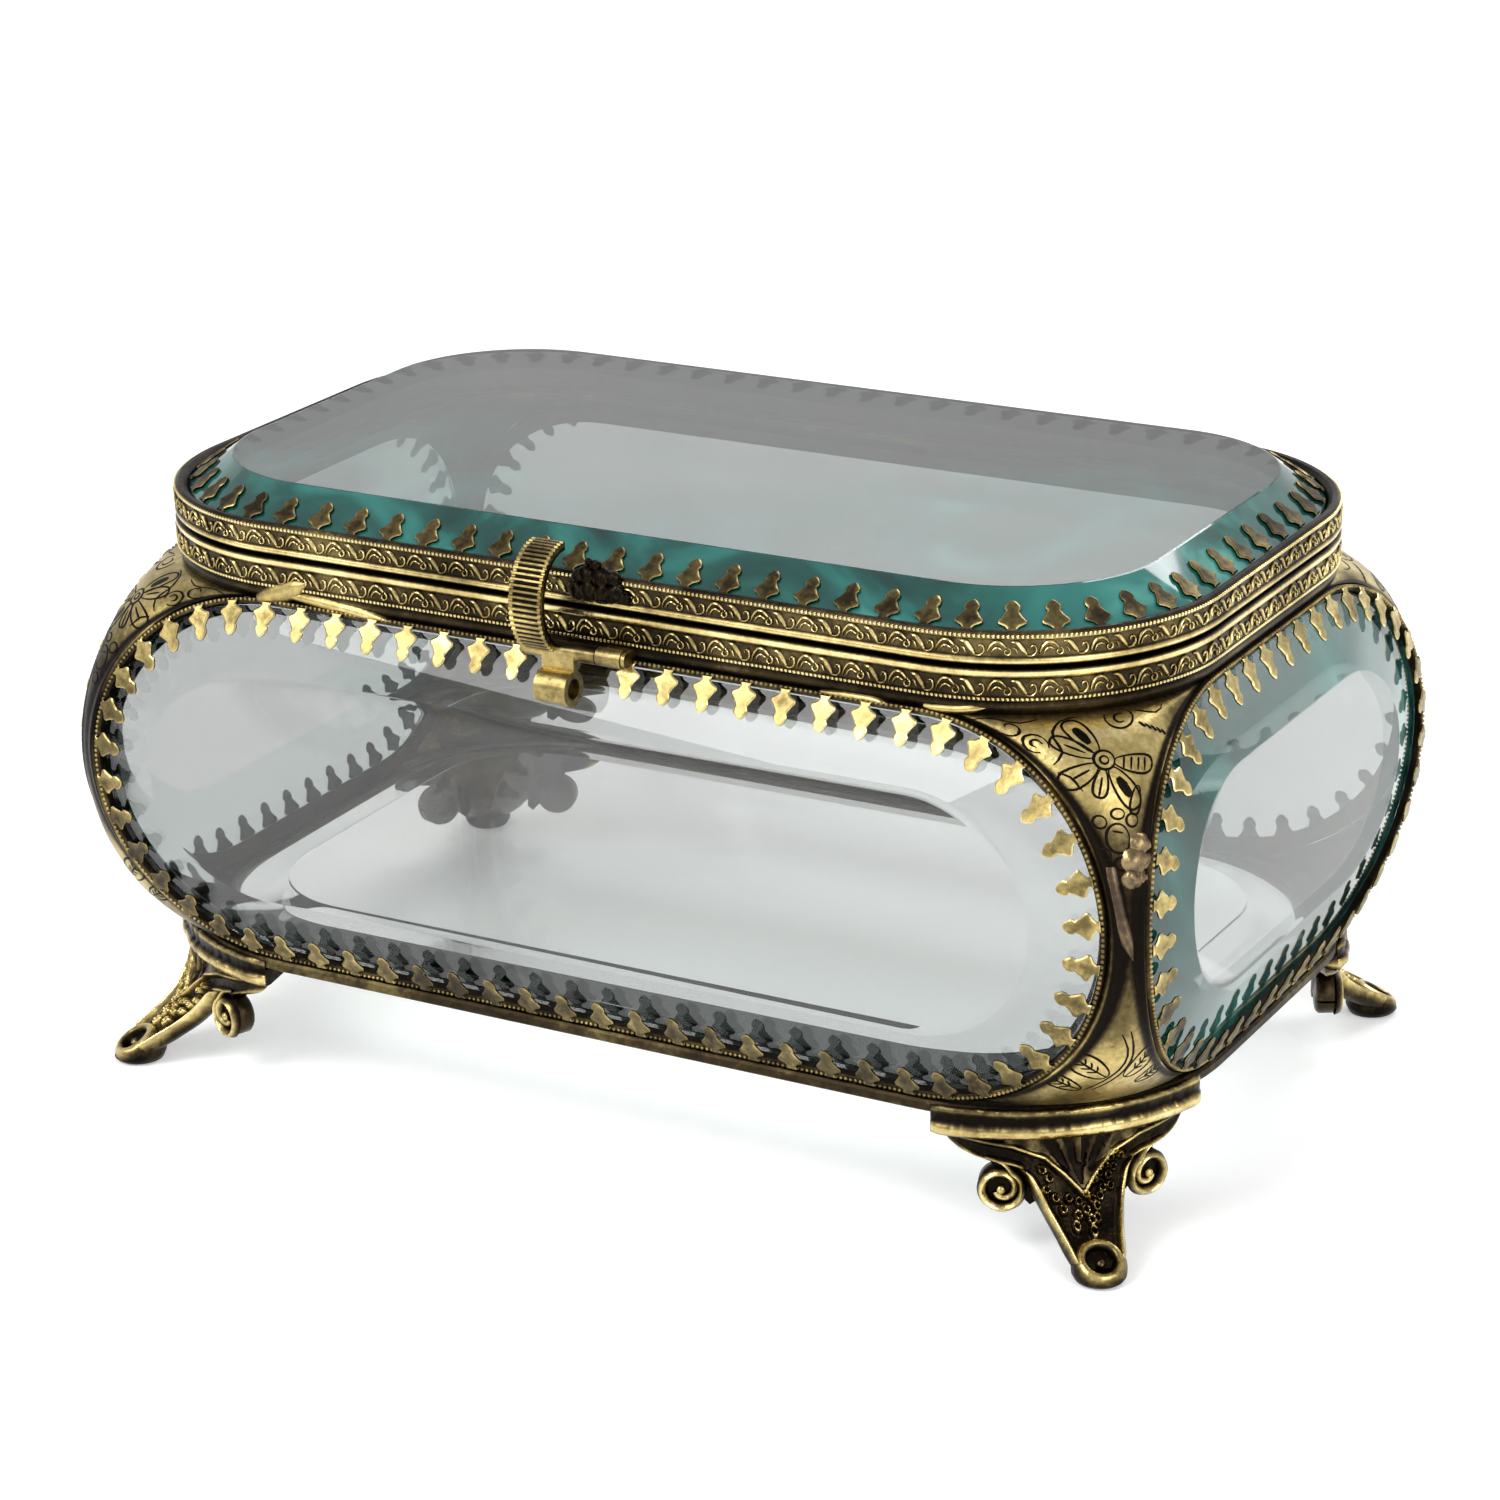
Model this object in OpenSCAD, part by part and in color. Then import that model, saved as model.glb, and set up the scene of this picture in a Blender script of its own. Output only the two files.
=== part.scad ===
// Glass keepsake casket: bevelled glass panels in a gilt brass frame on four cast feet.
// X runs along the length, the front faces -Y, Z is up and the feet stand on Z = 0.

/* [Casket] */
// Length of the lid rim, along X
lid_len = 144; // [120:1:200]
// Width of the lid rim, along Y
lid_wid = 86; // [76:0.2:140]
// Corner radius of the lid rim, seen from above
lid_corner_r = 26.5; // [20:0.5:32]
// Height of the four feet, from the table to the bottom frame
foot_h = 17.2; // [12:0.2:30]
// Height of the curved side panels
panel_h = 48.2; // [36:0.2:80]
// Slit between the closed lid and the body
lid_gap = 0.3; // [0.2:0.05:1]

/* [Bulging panels] */
// How far the panels' top edge stands inside the lid rim's outline
top_in = 1; // [0:0.1:3]
// How far the widest line of the panels stands out from the lid rim's outline
belly_out = 2.8; // [1.5:0.1:6]
// How far the panels' bottom edge stands out from the lid rim's outline
bottom_out = 0; // [-1:0.1:1.5]
// Height of the windows' rounded top corners, measured along the curve
top_corner_h = 24; // [18:0.5:28]
// Width of the pillars' waist, seen from the front
waist_front = 3.3; // [3.2:0.1:8]
// Width of the pillars' waist, seen from the side
waist_side = 2; // [1.9:0.1:6]

/* [Glass] */
// Thickness of the bevelled panes
glass_t = 3.9; // [3:0.1:5]
// Thickness of the lid's pane, which stands proud of the rim
lid_glass_t = 6.2; // [5:0.1:7.5]
// Thickness left at the panes' ground edges
glass_edge_t = 2.2; // [1.5:0.1:2.8]
// Width of the bevel on the curved panes
panel_bevel_w = 9; // [5:0.5:12]
// Width of the steep bevel on the lid's pane
lid_bevel_w = 5.8; // [4:0.1:9]
// Width of the bevel on the bottom pane
bottom_bevel_w = 8; // [4:0.5:12]
// Clearance around each pane in its frame
glass_gap = 0.1; // [0.05:0.05:0.2]

/* [Bezels and rims] */
// Wall of the channel that holds each curved pane
bezel_t = 0.8; // [0.6:0.1:1.2]
// How far the channel stands in front of the pane's edge
bezel_lip = 0.8; // [0.4:0.1:1.2]
// How far the channel's back lip reaches behind the pane
back_lip = 1; // [0.6:0.1:2]
// Height of the rim under the lid
body_rim_h = 5.6; // [5:0.1:9]
// Height of the lid rim
lid_rim_h = 3.9; // [3.6:0.1:7]
// Wall of both rims
rim_t = 1.6; // [1.2:0.1:2.4]
// Height of the frame around the bottom pane
frame_h = 3.4; // [3:0.1:6]
// How far the bottom frame stands out from the lid rim's outline
frame_out = 1.5; // [0.5:0.1:3]
// Space between the curved panels and the rims above and below them
panel_gap = 0.35; // [0.3:0.05:0.6]

/* [Claws] */
// Distance from one claw to the next
claw_pitch = 5.25; // [4:0.05:8]
// Length of a claw
claw_len = 4.5; // [3:0.1:6]
// Width of a claw
claw_w = 3.2; // [2:0.1:3.8]
// Thickness of a claw
claw_t = 0.35; // [0.25:0.05:0.6]

/* [Pillars] */
// Thickness of the pillars' sheet
pillar_t = 0.9; // [0.6:0.1:1.4]
// Gap between a pillar and the channels it is soldered to
solder_gap = 0.1; // [0.05:0.05:0.2]

/* [Feet] */
// Distance of the toes from the centre of the frame's corners, seen from above
toe_reach = 36.9; // [34:0.1:46]
// Direction of the feet, from the casket's length
foot_angle = 48.2; // [40:0.2:55]
// Radius of the rounded toe, seen from above
toe_r = 3.8; // [2.8:0.1:4.5]
// Thickness of the toe
toe_t = 3.3; // [2.4:0.1:4]
// Half of the angle that the foot's crown wraps round the corner
crown_half_angle = 36.5; // [26:0.5:40]
// Radius of the scrolls beside each foot
scroll_r = 3; // [2:0.1:3.4]

/* [Hinge] */
// Length of one hinge knuckle
knuckle_len = 5.5; // [4:0.1:8]
// Outside radius of the hinge knuckles
knuckle_r = 1.5; // [1.2:0.05:2]
// Radius of the hinge pin and of the clasp's pin
pin_r = 0.55; // [0.4:0.05:0.8]
// Running clearance between a pin and its knuckles
pin_gap = 0.05; // [0.02:0.01:0.1]
// Thickness of the hinge leaves
leaf_t = 0.6; // [0.4:0.1:1]

/* [Clasp] */
// Place of the knurled band's middle along the front
clasp_x = -3.0; // [-30:0.1:30]
// Width of the clasp's knurled band
clasp_w = 4.4; // [4:0.1:8]
// Half of the height of the knurled band
clasp_rise = 6.8; // [6.2:0.1:8]
// Depth of the knurled band, from front to back
clasp_depth = 5.8; // [4.6:0.1:7]
// Distance of the band's middle above the seam
clasp_up = 1; // [0.8:0.1:2]
// Distance of the band's middle in front of the lid rim's outline
clasp_mid_out = 0.8; // [0.6:0.1:1.4]
// Thickness of the knurled band
clasp_t = 0.9; // [0.6:0.1:1.2]
// Distance of the clasp's pin in front of the lid rim's outline
clasp_pin_out = 2.7; // [2.7:0.1:4]
// Outside radius of the clasp's pivot tube
tube_r = 1.15; // [1.05:0.05:1.5]
// How far the pivot tube's turning part runs on beyond the band
hub_reach = 5.4; // [4.8:0.1:8]
// Length of the pivot tube's fixed part
bracket_len = 3.4; // [3:0.1:8]
// How far the finger curl sits to the right of the band's middle
curl_shift = 2.6; // [0:0.1:4]
// Distance of the finger curl below the clasp's pin
curl_drop = 4.3; // [4.2:0.1:6]
// Outside radius of the finger curl
curl_r = 2.2; // [1.8:0.1:2.4]

/* [Hidden] */

$fn = 48;
brass = [0.70, 0.57, 0.33];
dark_brass = [0.48, 0.38, 0.22];
bright_brass = [0.85, 0.70, 0.38];
clear_glass = [0.78, 0.88, 0.85, 0.4];

half_len = lid_len / 2;
half_wid = lid_wid / 2;
corner_x = half_len - lid_corner_r;
corner_y = half_wid - lid_corner_r;

// Heights, from the table up
frame_z = foot_h;
frame_lap = 2;
frame_top_z = frame_z + frame_h - frame_lap;
panel_z0 = frame_top_z + panel_gap;
panel_z1 = panel_z0 + panel_h;
body_rim_z = panel_z1 + panel_gap;
body_rim_top_z = body_rim_z + body_rim_h;
lid_rim_z = body_rim_top_z + lid_gap;
lid_rim_top_z = lid_rim_z + lid_rim_h;
ledge_t = 0.8;
lid_glass_z = lid_rim_z + ledge_t;
bevel_rise = glass_t - glass_edge_t;

// The panels' upright profile is one arc; v runs along it, n stands out from it
sag = belly_out - (bottom_out - top_in) / 2;
chord = norm([panel_h, top_in + bottom_out]);
arc_r = (chord * chord / 4 + sag * sag) / (2 * sag);
arc_half = asin(chord / 2 / arc_r);
arc_len = 2 * arc_half * PI / 180 * arc_r;
chord_lean = atan2(top_in + bottom_out, panel_h);
function tilt(v) = v / arc_r * 180 / PI - arc_half + chord_lean;
arc_mid = [(bottom_out - top_in) / 2, (panel_z0 + panel_z1) / 2];
arc_centre = arc_mid - (arc_r - sag) * [cos(chord_lean), sin(chord_lean)];
function arc_point(v, n) = arc_centre + (arc_r + n) * [cos(tilt(v)), sin(tilt(v))];

// An oval is [corner centre u, semi-axis along u, top centre v, top semi-axis, bottom centre v,
// bottom semi-axis]; its points are [u, v, direction of the outward normal]
function oval_angle(a, ru, rv) =
    let (t = atan2(ru * sin(a), rv * cos(a))) (a >= 180 && t <= 0 ? t + 360 : t);
function oval_corner(o, inset, from, steps, skip) =
    let (top = from < 180, side = (from == 0 || from == 270) ? 1 : -1,
        ru = o[1] - inset, rv = (top ? o[3] : o[5]) - inset, cv = top ? o[2] : o[4])
    [for (i = [skip[0] : steps - skip[1]])
        let (a = from + 90 * i / steps)
        [side * o[0] + ru * cos(a), cv + rv * sin(a), oval_angle(a, o[1], top ? o[3] : o[5])]];
function oval(o, inset, steps) =
    let (lone = o[2] == o[4] ? 1 : 0)
    concat(oval_corner(o, inset, 0, steps, [0, 0]), oval_corner(o, inset, 90, steps, [0, 0]),
        oval_corner(o, inset, 180, steps, [lone, 0]), oval_corner(o, inset, 270, steps, [0, lone]));

function window(half, corner, waist) =
    [corner, half + belly_out - waist - corner, arc_len - top_corner_h, top_corner_h,
        arc_len - top_corner_h, arc_len - top_corner_h];
front_window = window(half_len, corner_x, waist_front);
side_window = window(half_wid, corner_y, waist_side);
function face_point(reach, p, n) =
    let (q = arc_point(p[1], n)) [p[0], -(reach + q[0]), q[1]];

// Stations on each quarter of a window, and rows of facets across a pane
quarter = 10;
rows = 5;
stations = 4 * quarter + 2;
last = 2 * quarter + 1;

// A closed rim: the section's x is its offset from an outline, its y a height
module rim(len, wid, r, section) {
    cx = len / 2 - r;
    cy = wid / 2 - r;
    for (k = [0 : 3]) {
        side_x = (k == 0 || k == 3) ? cx : -cx;
        side_y = k < 2 ? cy : -cy;
        translate([side_x, side_y, 0])
            rotate([0, 0, 90 * k])
                rotate_extrude(angle = 90) translate([r, 0]) polygon(section);
    }
    for (k = [0, 1]) {
        rotate([0, 0, 180 * k]) {
            translate([cx + r, cy, 0])
                rotate([90, 0, 0]) linear_extrude(2 * cy) polygon(section);
            translate([-cx, cy + r, 0])
                rotate([90, 0, 90]) linear_extrude(2 * cx) polygon(section);
        }
    }
}

// A flat pane with a bevel all round: inset is measured from the lid rim's outline
module flat_pane(inset, z, bevel_w, thick) {
    r = lid_corner_r - inset;
    section = [[0, 0], [r, 0], [r, glass_edge_t], [r - bevel_w, thick], [0, thick]];
    translate([0, 0, z]) {
        for (k = [0 : 3])
            translate([(k == 0 || k == 3) ? corner_x : -corner_x, k < 2 ? corner_y : -corner_y, 0])
                rotate([0, 0, 90 * k]) rotate_extrude(angle = 90) polygon(section);
        for (k = [0, 1]) rotate([0, 0, 180 * k]) {
            translate([corner_x, corner_y, 0])
                rotate([90, 0, 0]) linear_extrude(2 * corner_y) polygon(section);
            translate([-corner_x, corner_y, 0])
                rotate([90, 0, 90]) linear_extrude(2 * corner_x) polygon(section);
        }
        translate([-corner_x, -corner_y, 0]) cube([2 * corner_x, 2 * corner_y, thick]);
    }
}

// A curved pane, bevelled on its outer face
function upper(i) = i;
function lower(i) = (i == 0 || i == last) ? i : stations - i;
module curved_pane(o, reach) {
    inset = bezel_t + glass_gap;
    back = oval(o, inset, quarter);
    inner = oval(o, inset + panel_bevel_w, quarter);
    function grid(ring, n) = [for (i = [1 : last - 1]) for (k = [1 : rows - 1])
        let (a = ring[lower(i)], b = ring[upper(i)], v = a[1] + (b[1] - a[1]) * k / rows)
        face_point(reach, [a[0], v], n)];
    points = concat(
        [for (p = back) face_point(reach, p, -glass_edge_t)],
        [for (p = back) face_point(reach, p, 0)],
        [for (p = inner) face_point(reach, p, bevel_rise)],
        grid(back, -glass_edge_t),
        grid(inner, bevel_rise));
    grid_size = (last - 1) * (rows - 1);
    function at(i, k, ring, first) = k == 0 ? ring + lower(i) : k == rows ? ring + upper(i)
        : first + (i - 1) * (rows - 1) + k - 1;
    function skin(ring, first) = concat(
        [for (i = [1 : last - 2]) for (k = [0 : rows - 1]) each [
            [at(i, k, ring, first), at(i + 1, k, ring, first), at(i + 1, k + 1, ring, first)],
            [at(i, k, ring, first), at(i + 1, k + 1, ring, first), at(i, k + 1, ring, first)]]],
        [for (k = [0 : rows - 1])
            [ring, at(1, k, ring, first), at(1, k + 1, ring, first)]],
        [for (k = [0 : rows - 1])
            [ring + last, at(last - 1, k + 1, ring, first), at(last - 1, k, ring, first)]]);
    function flip(faces) = [for (f = faces) [f[0], f[2], f[1]]];
    first = 3 * stations;
    faces = concat(
        band(0, stations, stations),
        band(stations, 2 * stations, stations),
        flip(skin(0, first)),
        skin(2 * stations, first + grid_size));
    polyhedron(points, faces);
}
// Triangles between two rings of points
function band(a, b, count) = [for (i = [0 : count - 1]) let (j = (i + 1) % count) each [
    [a + i, b + i, b + j], [a + i, b + j, a + j]]];

// A closed tube that follows a window: the section's points are [inset, n]
module window_tube(o, reach, section) {
    rings = [for (q = section) oval(o, q[0], quarter)];
    points = [for (k = [0 : len(section) - 1]) for (p = rings[k])
        face_point(reach, p, section[k][1])];
    faces = [for (k = [0 : len(section) - 1])
        each band(k * stations, ((k + 1) % len(section)) * stations, stations)];
    polyhedron(points, faces);
}

module bezel(o, reach) {
    back = -glass_edge_t - glass_gap;
    window_tube(o, reach, [[0, back - bezel_t], [0, bezel_lip], [bezel_t / 2, bezel_lip + 0.2],
        [bezel_t, bezel_lip], [bezel_t, back], [bezel_t + back_lip, back],
        [bezel_t + back_lip, back - bezel_t]]);
}

// One claw: a neck, a wide body with side points, and a rounded tip
module claw() {
    half = [[0.25, 0], [0.18, 0.24], [0.5, 0.42], [0.38, 0.6], [0.18, 0.68], [0.2, 0.86], [0, 1]];
    right = [for (p = half) [p[0] * claw_w, p[1] * claw_len]];
    left = [for (i = [len(half) - 2 : -1 : 0]) [-right[i][0], right[i][1]]];
    linear_extrude(claw_t) polygon(concat(right, left));
}

// Claws all round an oval, at an even pitch; each is placed at [u, v, direction]
function sums(steps, i = 0, total = 0) = i >= len(steps) ? [total]
    : concat([total], sums(steps, i + 1, total + steps[i]));
function places(o, inset) =
    let (fine = 24, ring = oval(o, inset, fine), shut = concat(ring, [ring[0] + [0, 0, 360]]),
        steps = [for (i = [0 : len(ring) - 1])
            norm([shut[i + 1][0] - shut[i][0], shut[i + 1][1] - shut[i][1]])],
        run = sums(steps), whole = run[len(ring)], count = floor(whole / claw_pitch))
    [for (i = [0 : count - 1]) let (s = (i + 0.5) * whole / count)
        [for (k = [0 : 2]) lookup(s, [for (j = [0 : len(ring)]) [run[j], shut[j][k]]])]];
claw_rest = 0.15;
module window_claws(o, reach, spared) {
    inset = bezel_t / 2;
    lean = atan2(bevel_rise, panel_bevel_w);
    n = bezel_lip + 0.25;
    for (p = places(o, inset))
        if (p[1] < arc_len / 2 || abs(p[0] - clasp_x - curl_shift) > spared)
            translate(face_point(reach, p, n))
                rotate([90 - tilt(p[1]), 0, 0])
                    rotate([0, 0, p[2] + 90])
                        rotate([lean, 0, 0]) claw();
}

module facing(k) rotate([0, 0, 90 * k]) children();

module front_glass() color(clear_glass) facing(0) curved_pane(front_window, half_wid);
module back_glass() color(clear_glass) facing(2) curved_pane(front_window, half_wid);
module right_glass() color(clear_glass) facing(1) curved_pane(side_window, half_len);
module left_glass() color(clear_glass) facing(3) curved_pane(side_window, half_len);

module front_bezel() color(brass) facing(0) bezel(front_window, half_wid);
module back_bezel() color(brass) facing(2) bezel(front_window, half_wid);
module right_bezel() color(brass) facing(1) bezel(side_window, half_len);
module left_bezel() color(brass) facing(3) bezel(side_window, half_len);

// The front spares the claws that the clasp's curl would touch
clasp_spare = clasp_w / 2 + claw_w / 2 + 0.3;
module front_claws() color(bright_brass) facing(0) window_claws(front_window, half_wid, clasp_spare);
module back_claws() color(bright_brass) facing(2) window_claws(front_window, half_wid, 0);
module right_claws() color(bright_brass) facing(1) window_claws(side_window, half_len, 0);
module left_claws() color(bright_brass) facing(3) window_claws(side_window, half_len, 0);

// A corner pillar: sheet between the front window's end and the side window's end
pillar_n = 0.2;
pillar_steps = 8;
module pillar() {
    front = oval(front_window, 0, quarter);
    side = oval(side_window, 0, quarter);
    levels = 2 * quarter + 1;
    across = pillar_steps + 1;
    function ring_index(j) = j < quarter ? stations - quarter + j : j - quarter;
    function point(j, t, n) = let (f = front[ring_index(j)], s = side[ring_index(j)],
        q = arc_point(f[1], n), fx = f[0] + solder_gap, sy = s[0] + solder_gap)
        [fx + (half_len + q[0] - fx) * cos(t), -(sy + (half_wid + q[0] - sy) * sin(t)), q[1]];
    points = [for (n = [pillar_n, pillar_n - pillar_t]) for (j = [0 : levels - 1])
        for (i = [0 : across - 1]) point(j, 90 * i / pillar_steps, n)];
    size = levels * across;
    function outer(j, i) = j * across + i;
    function inner(j, i) = size + j * across + i;
    sheet = [for (j = [0 : levels - 2]) for (i = [0 : across - 2]) each [
        [outer(j, i), outer(j + 1, i), outer(j + 1, i + 1)],
        [outer(j, i), outer(j + 1, i + 1), outer(j, i + 1)],
        [inner(j, i), inner(j + 1, i + 1), inner(j + 1, i)],
        [inner(j, i), inner(j, i + 1), inner(j + 1, i + 1)]]];
    ends = [for (i = [0 : across - 2]) each [
        [outer(0, i), outer(0, i + 1), inner(0, i + 1)],
        [outer(0, i), inner(0, i + 1), inner(0, i)],
        [outer(levels - 1, i), inner(levels - 1, i + 1), outer(levels - 1, i + 1)],
        [outer(levels - 1, i), inner(levels - 1, i), inner(levels - 1, i + 1)]]];
    sides = [for (j = [0 : levels - 2]) each [
        [outer(j, 0), inner(j, 0), inner(j + 1, 0)],
        [outer(j, 0), inner(j + 1, 0), outer(j + 1, 0)],
        [outer(j, across - 1), inner(j + 1, across - 1), inner(j, across - 1)],
        [outer(j, across - 1), outer(j + 1, across - 1), inner(j + 1, across - 1)]]];
    polyhedron(points, concat(sheet, ends, sides));
}
module front_right_pillar() color(dark_brass) pillar();
module front_left_pillar() color(dark_brass) mirror([1, 0, 0]) pillar();
module back_right_pillar() color(dark_brass) mirror([0, 1, 0]) pillar();
module back_left_pillar() color(dark_brass) rotate([0, 0, 180]) pillar();

// Rims: offsets are from the lid rim's outline, outwards
bead_r = 0.35;
ledge_w = 2.6;
module body_rim() color(brass) {
    z0 = body_rim_z;
    z1 = body_rim_top_z;
    rim(lid_len, lid_wid, lid_corner_r, [
        [-rim_t - ledge_w, z0], [-0.5, z0], [-0.5, z0 + 1.4], [bead_r - 0.25, z0 + 1.7],
        [-0.1, z0 + 2.2], [-0.1, z1 - 1], [0.15, z1 - 0.75], [0.15, z1 - 0.2], [-0.05, z1],
        [-rim_t, z1], [-rim_t, z0 + ledge_t], [-rim_t - ledge_w, z0 + ledge_t]]);
}
module lid_rim() color(brass) {
    z0 = lid_rim_z;
    z1 = lid_rim_top_z;
    rim(lid_len, lid_wid, lid_corner_r, [
        [-rim_t - ledge_w, z0], [-0.05, z0], [0.15, z0 + 0.2], [0.15, z0 + 0.8], [-0.1, z0 + 1.05],
        [-0.1, z1 - 0.8], [0.1, z1 - 0.6], [0.1, z1 - 0.2], [-0.2, z1], [-0.9, z1],
        [-rim_t, z1 - 0.5], [-rim_t, z0 + ledge_t], [-rim_t - ledge_w, z0 + ledge_t]]);
}
pane_inset = rim_t + 4 * glass_gap;
module lid_glass() color(clear_glass) flat_pane(pane_inset, lid_glass_z, lid_bevel_w, lid_glass_t);
module lid_claws() color(bright_brass) {
    root = rim_t + 0.4;
    lid_oval = [corner_x, lid_corner_r, corner_y, lid_corner_r, -corner_y, lid_corner_r];
    lean = atan2(lid_glass_t - glass_edge_t, lid_bevel_w);
    z = lid_glass_z + glass_edge_t + claw_rest - (pane_inset - root) * tan(lean);
    for (p = places(lid_oval, root))
        translate([p[0], p[1], z]) rotate([0, 0, p[2] + 90]) rotate([lean, 0, 0]) claw();
}

// The bottom frame laps outside the panels' foot and carries the bottom pane on a ledge
pane_seat = 4.6;
module bottom_frame() color(brass) {
    z0 = frame_z;
    seat = z0 + ledge_t;
    rim(lid_len, lid_wid, lid_corner_r, [
        [-pane_seat - back_lip - 0.6, z0], [frame_out - 0.2, z0], [frame_out, z0 + 0.2],
        [frame_out, frame_top_z - 0.3], [frame_out - 0.3, frame_top_z],
        [-pane_seat, frame_top_z], [-pane_seat, seat], [-pane_seat - back_lip - 0.6, seat]]);
}
module bottom_glass() color(clear_glass)
    flat_pane(pane_seat + glass_gap, frame_z + ledge_t, bottom_bevel_w, glass_t);

// One foot, drawn at the corner's centre with the toe along +X: a crown under the frame's corner,
// a thin cast leg that kicks outwards, a scroll on each side and a rounded toe
frame_r = lid_corner_r + frame_out;
crown_t = 1.3;
crown_h = 2.4;
foot_sides = 14;
// Each row is [share of the height, share of the reach, depth, half width]
foot_rows = [[0.92, 0, 2.8, 14.8], [0.8, 0.02, 3, 13.6], [0.7, 0.04, 3, 11], [0.6, 0.08, 3, 8.2],
    [0.5, 0.15, 3.2, 6.4], [0.4, 0.26, 3.4, 5.4], [0.31, 0.42, 4.2, 4.7], [0.23, 0.62, 5, 4.2],
    [0.16, 0.84, 5.4, 3.8], [0.1, 1, 4, 3.2]];
module foot_body() {
    start = frame_r - 1.6;
    function at(row, k) = let (a = 360 * k / foot_sides, r = start + (toe_reach - start) * row[1],
        swing = row[3] * sin(a) / r * 180 / PI, out = r + row[2] / 2 * cos(a))
        [out * cos(swing), out * sin(swing), foot_h * row[0]];
    points = [for (row = foot_rows) for (k = [0 : foot_sides - 1]) at(row, k)];
    top = len(foot_rows) - 1;
    faces = concat([[for (k = [foot_sides - 1 : -1 : 0]) k]],
        [for (j = [0 : top - 1]) each band((j + 1) * foot_sides, j * foot_sides, foot_sides)],
        [[for (k = [0 : foot_sides - 1]) top * foot_sides + k]]);
    polyhedron(points, faces);
}
module foot() {
    crown_z = foot_h - crown_h;
    rotate([0, 0, -crown_half_angle]) rotate_extrude(angle = 2 * crown_half_angle)
        polygon([[frame_r - 3.4, crown_z + 0.6], [frame_r - 0.6, crown_z], [frame_r + 0.2, crown_z + 0.5],
            [frame_r + crown_t - 0.2, crown_z + 1.5], [frame_r + crown_t, foot_h],
            [frame_r + crown_t, foot_h + 1.2], [frame_r + crown_t - 0.5, foot_h + 1.5],
            [frame_r + 0.1, foot_h + 1.5], [frame_r + 0.1, foot_h], [frame_r - 3.4, foot_h]]);
    foot_body();
    scroll_angle = 19.5;
    scroll_z = 0.47 * foot_h;
    scroll_depth = 3;
    eye_h = 0.6;
    for (s = [-1, 1])
        rotate([0, 0, s * scroll_angle]) translate([frame_r - scroll_depth, 0, scroll_z])
            rotate([0, 90, 0]) {
                cylinder(h = scroll_depth, r = scroll_r);
                translate([0, 0, scroll_depth]) cylinder(h = eye_h, r = scroll_r * 0.4);
            }
    edge = 0.8;
    translate([toe_reach, 0, 0]) rotate_extrude()
        polygon([[0, 0], [toe_r - edge, 0], [toe_r - 0.2, edge / 2], [toe_r, toe_t / 2],
            [toe_r - 0.2, toe_t - edge / 2], [toe_r - edge, toe_t], [0, toe_t]]);
}
module placed_foot() translate([corner_x, -corner_y, 0]) rotate([0, 0, -foot_angle]) foot();
module front_right_foot() color(brass) placed_foot();
module front_left_foot() color(brass) mirror([1, 0, 0]) placed_foot();
module back_right_foot() color(brass) mirror([0, 1, 0]) placed_foot();
module back_left_foot() color(brass) rotate([0, 0, 180]) placed_foot();

// Hinge at the middle of the back: three knuckles on the body, two on the lid
hinge_z = body_rim_top_z + lid_gap / 2;
hinge_y = half_wid + 0.35 + knuckle_r;
knuckle_gap = 0.15;
hinge_len = 5 * knuckle_len;
module knuckle(x0, length, y, z) {
    along_front(x0, y, z) difference() {
        cylinder(h = length, r = knuckle_r);
        translate([0, 0, -1]) cylinder(h = length + 2, r = pin_r + pin_gap);
    }
}
module hinge_leaf(up, numbers) {
    leaf_y = half_wid + 0.2;
    reach = knuckle_r + 0.4;
    depth = up > 0 ? 1.9 : 1.8;
    low = up > 0 ? hinge_z + reach : hinge_z - reach - depth;
    translate([-hinge_len / 2, leaf_y, low]) cube([hinge_len, leaf_t, depth]);
    for (i = numbers) {
        x0 = -hinge_len / 2 + i * knuckle_len + knuckle_gap / 2;
        length = knuckle_len - knuckle_gap;
        knuckle(x0, length, hinge_y, hinge_z);
        tab_z = up > 0 ? hinge_z + pin_r + pin_gap + 0.15 : hinge_z - reach - 0.1;
        tab_h = reach + 0.1 - pin_r - pin_gap - 0.15;
        translate([x0, leaf_y, tab_z]) cube([length, leaf_t + 0.4, tab_h]);
    }
}
module body_hinge_leaf() color(brass) hinge_leaf(-1, [0, 2, 4]);
module lid_hinge_leaf() color(brass) hinge_leaf(1, [1, 3]);
module hinge_pin() color(bright_brass) pin(-hinge_len / 2, hinge_len, hinge_y, hinge_z);

// A pin with a small head at each end
pin_head_t = 0.5;
module pin(x0, length, y, z) {
    along_front(x0 - 0.05 - pin_head_t, y, z) {
        cylinder(h = length + 0.1 + 2 * pin_head_t, r = pin_r);
        cylinder(h = pin_head_t, r = pin_r + 0.4);
        translate([0, 0, length + 0.1 + pin_head_t]) cylinder(h = pin_head_t, r = pin_r + 0.4);
    }
}

// Clasp: a knurled band that stands in front of the seam and turns on a pin below it
clasp_mid_y = -(half_wid + clasp_mid_out);
clasp_mid_z = hinge_z + clasp_up;
clasp_pin_y = -(half_wid + clasp_pin_out);
clasp_pin_z = clasp_mid_z - (clasp_rise - clasp_t / 2)
    * sqrt(1 - pow((clasp_pin_out - clasp_mid_out) / (clasp_depth - clasp_t / 2), 2));
clasp_x0 = clasp_x - clasp_w / 2;
clasp_x1 = clasp_x + clasp_w / 2 + hub_reach;
band_from = -92;
band_to = 66;
ridges = 26;
ridge_h = 0.2;
function band_point(a, inset) = [clasp_mid_y - (clasp_depth - inset) * cos(a),
    clasp_mid_z - (clasp_rise - inset) * sin(a)];
module along_front(x, y, z) translate([x, y, z]) rotate([0, 90, 0]) children();
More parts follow.
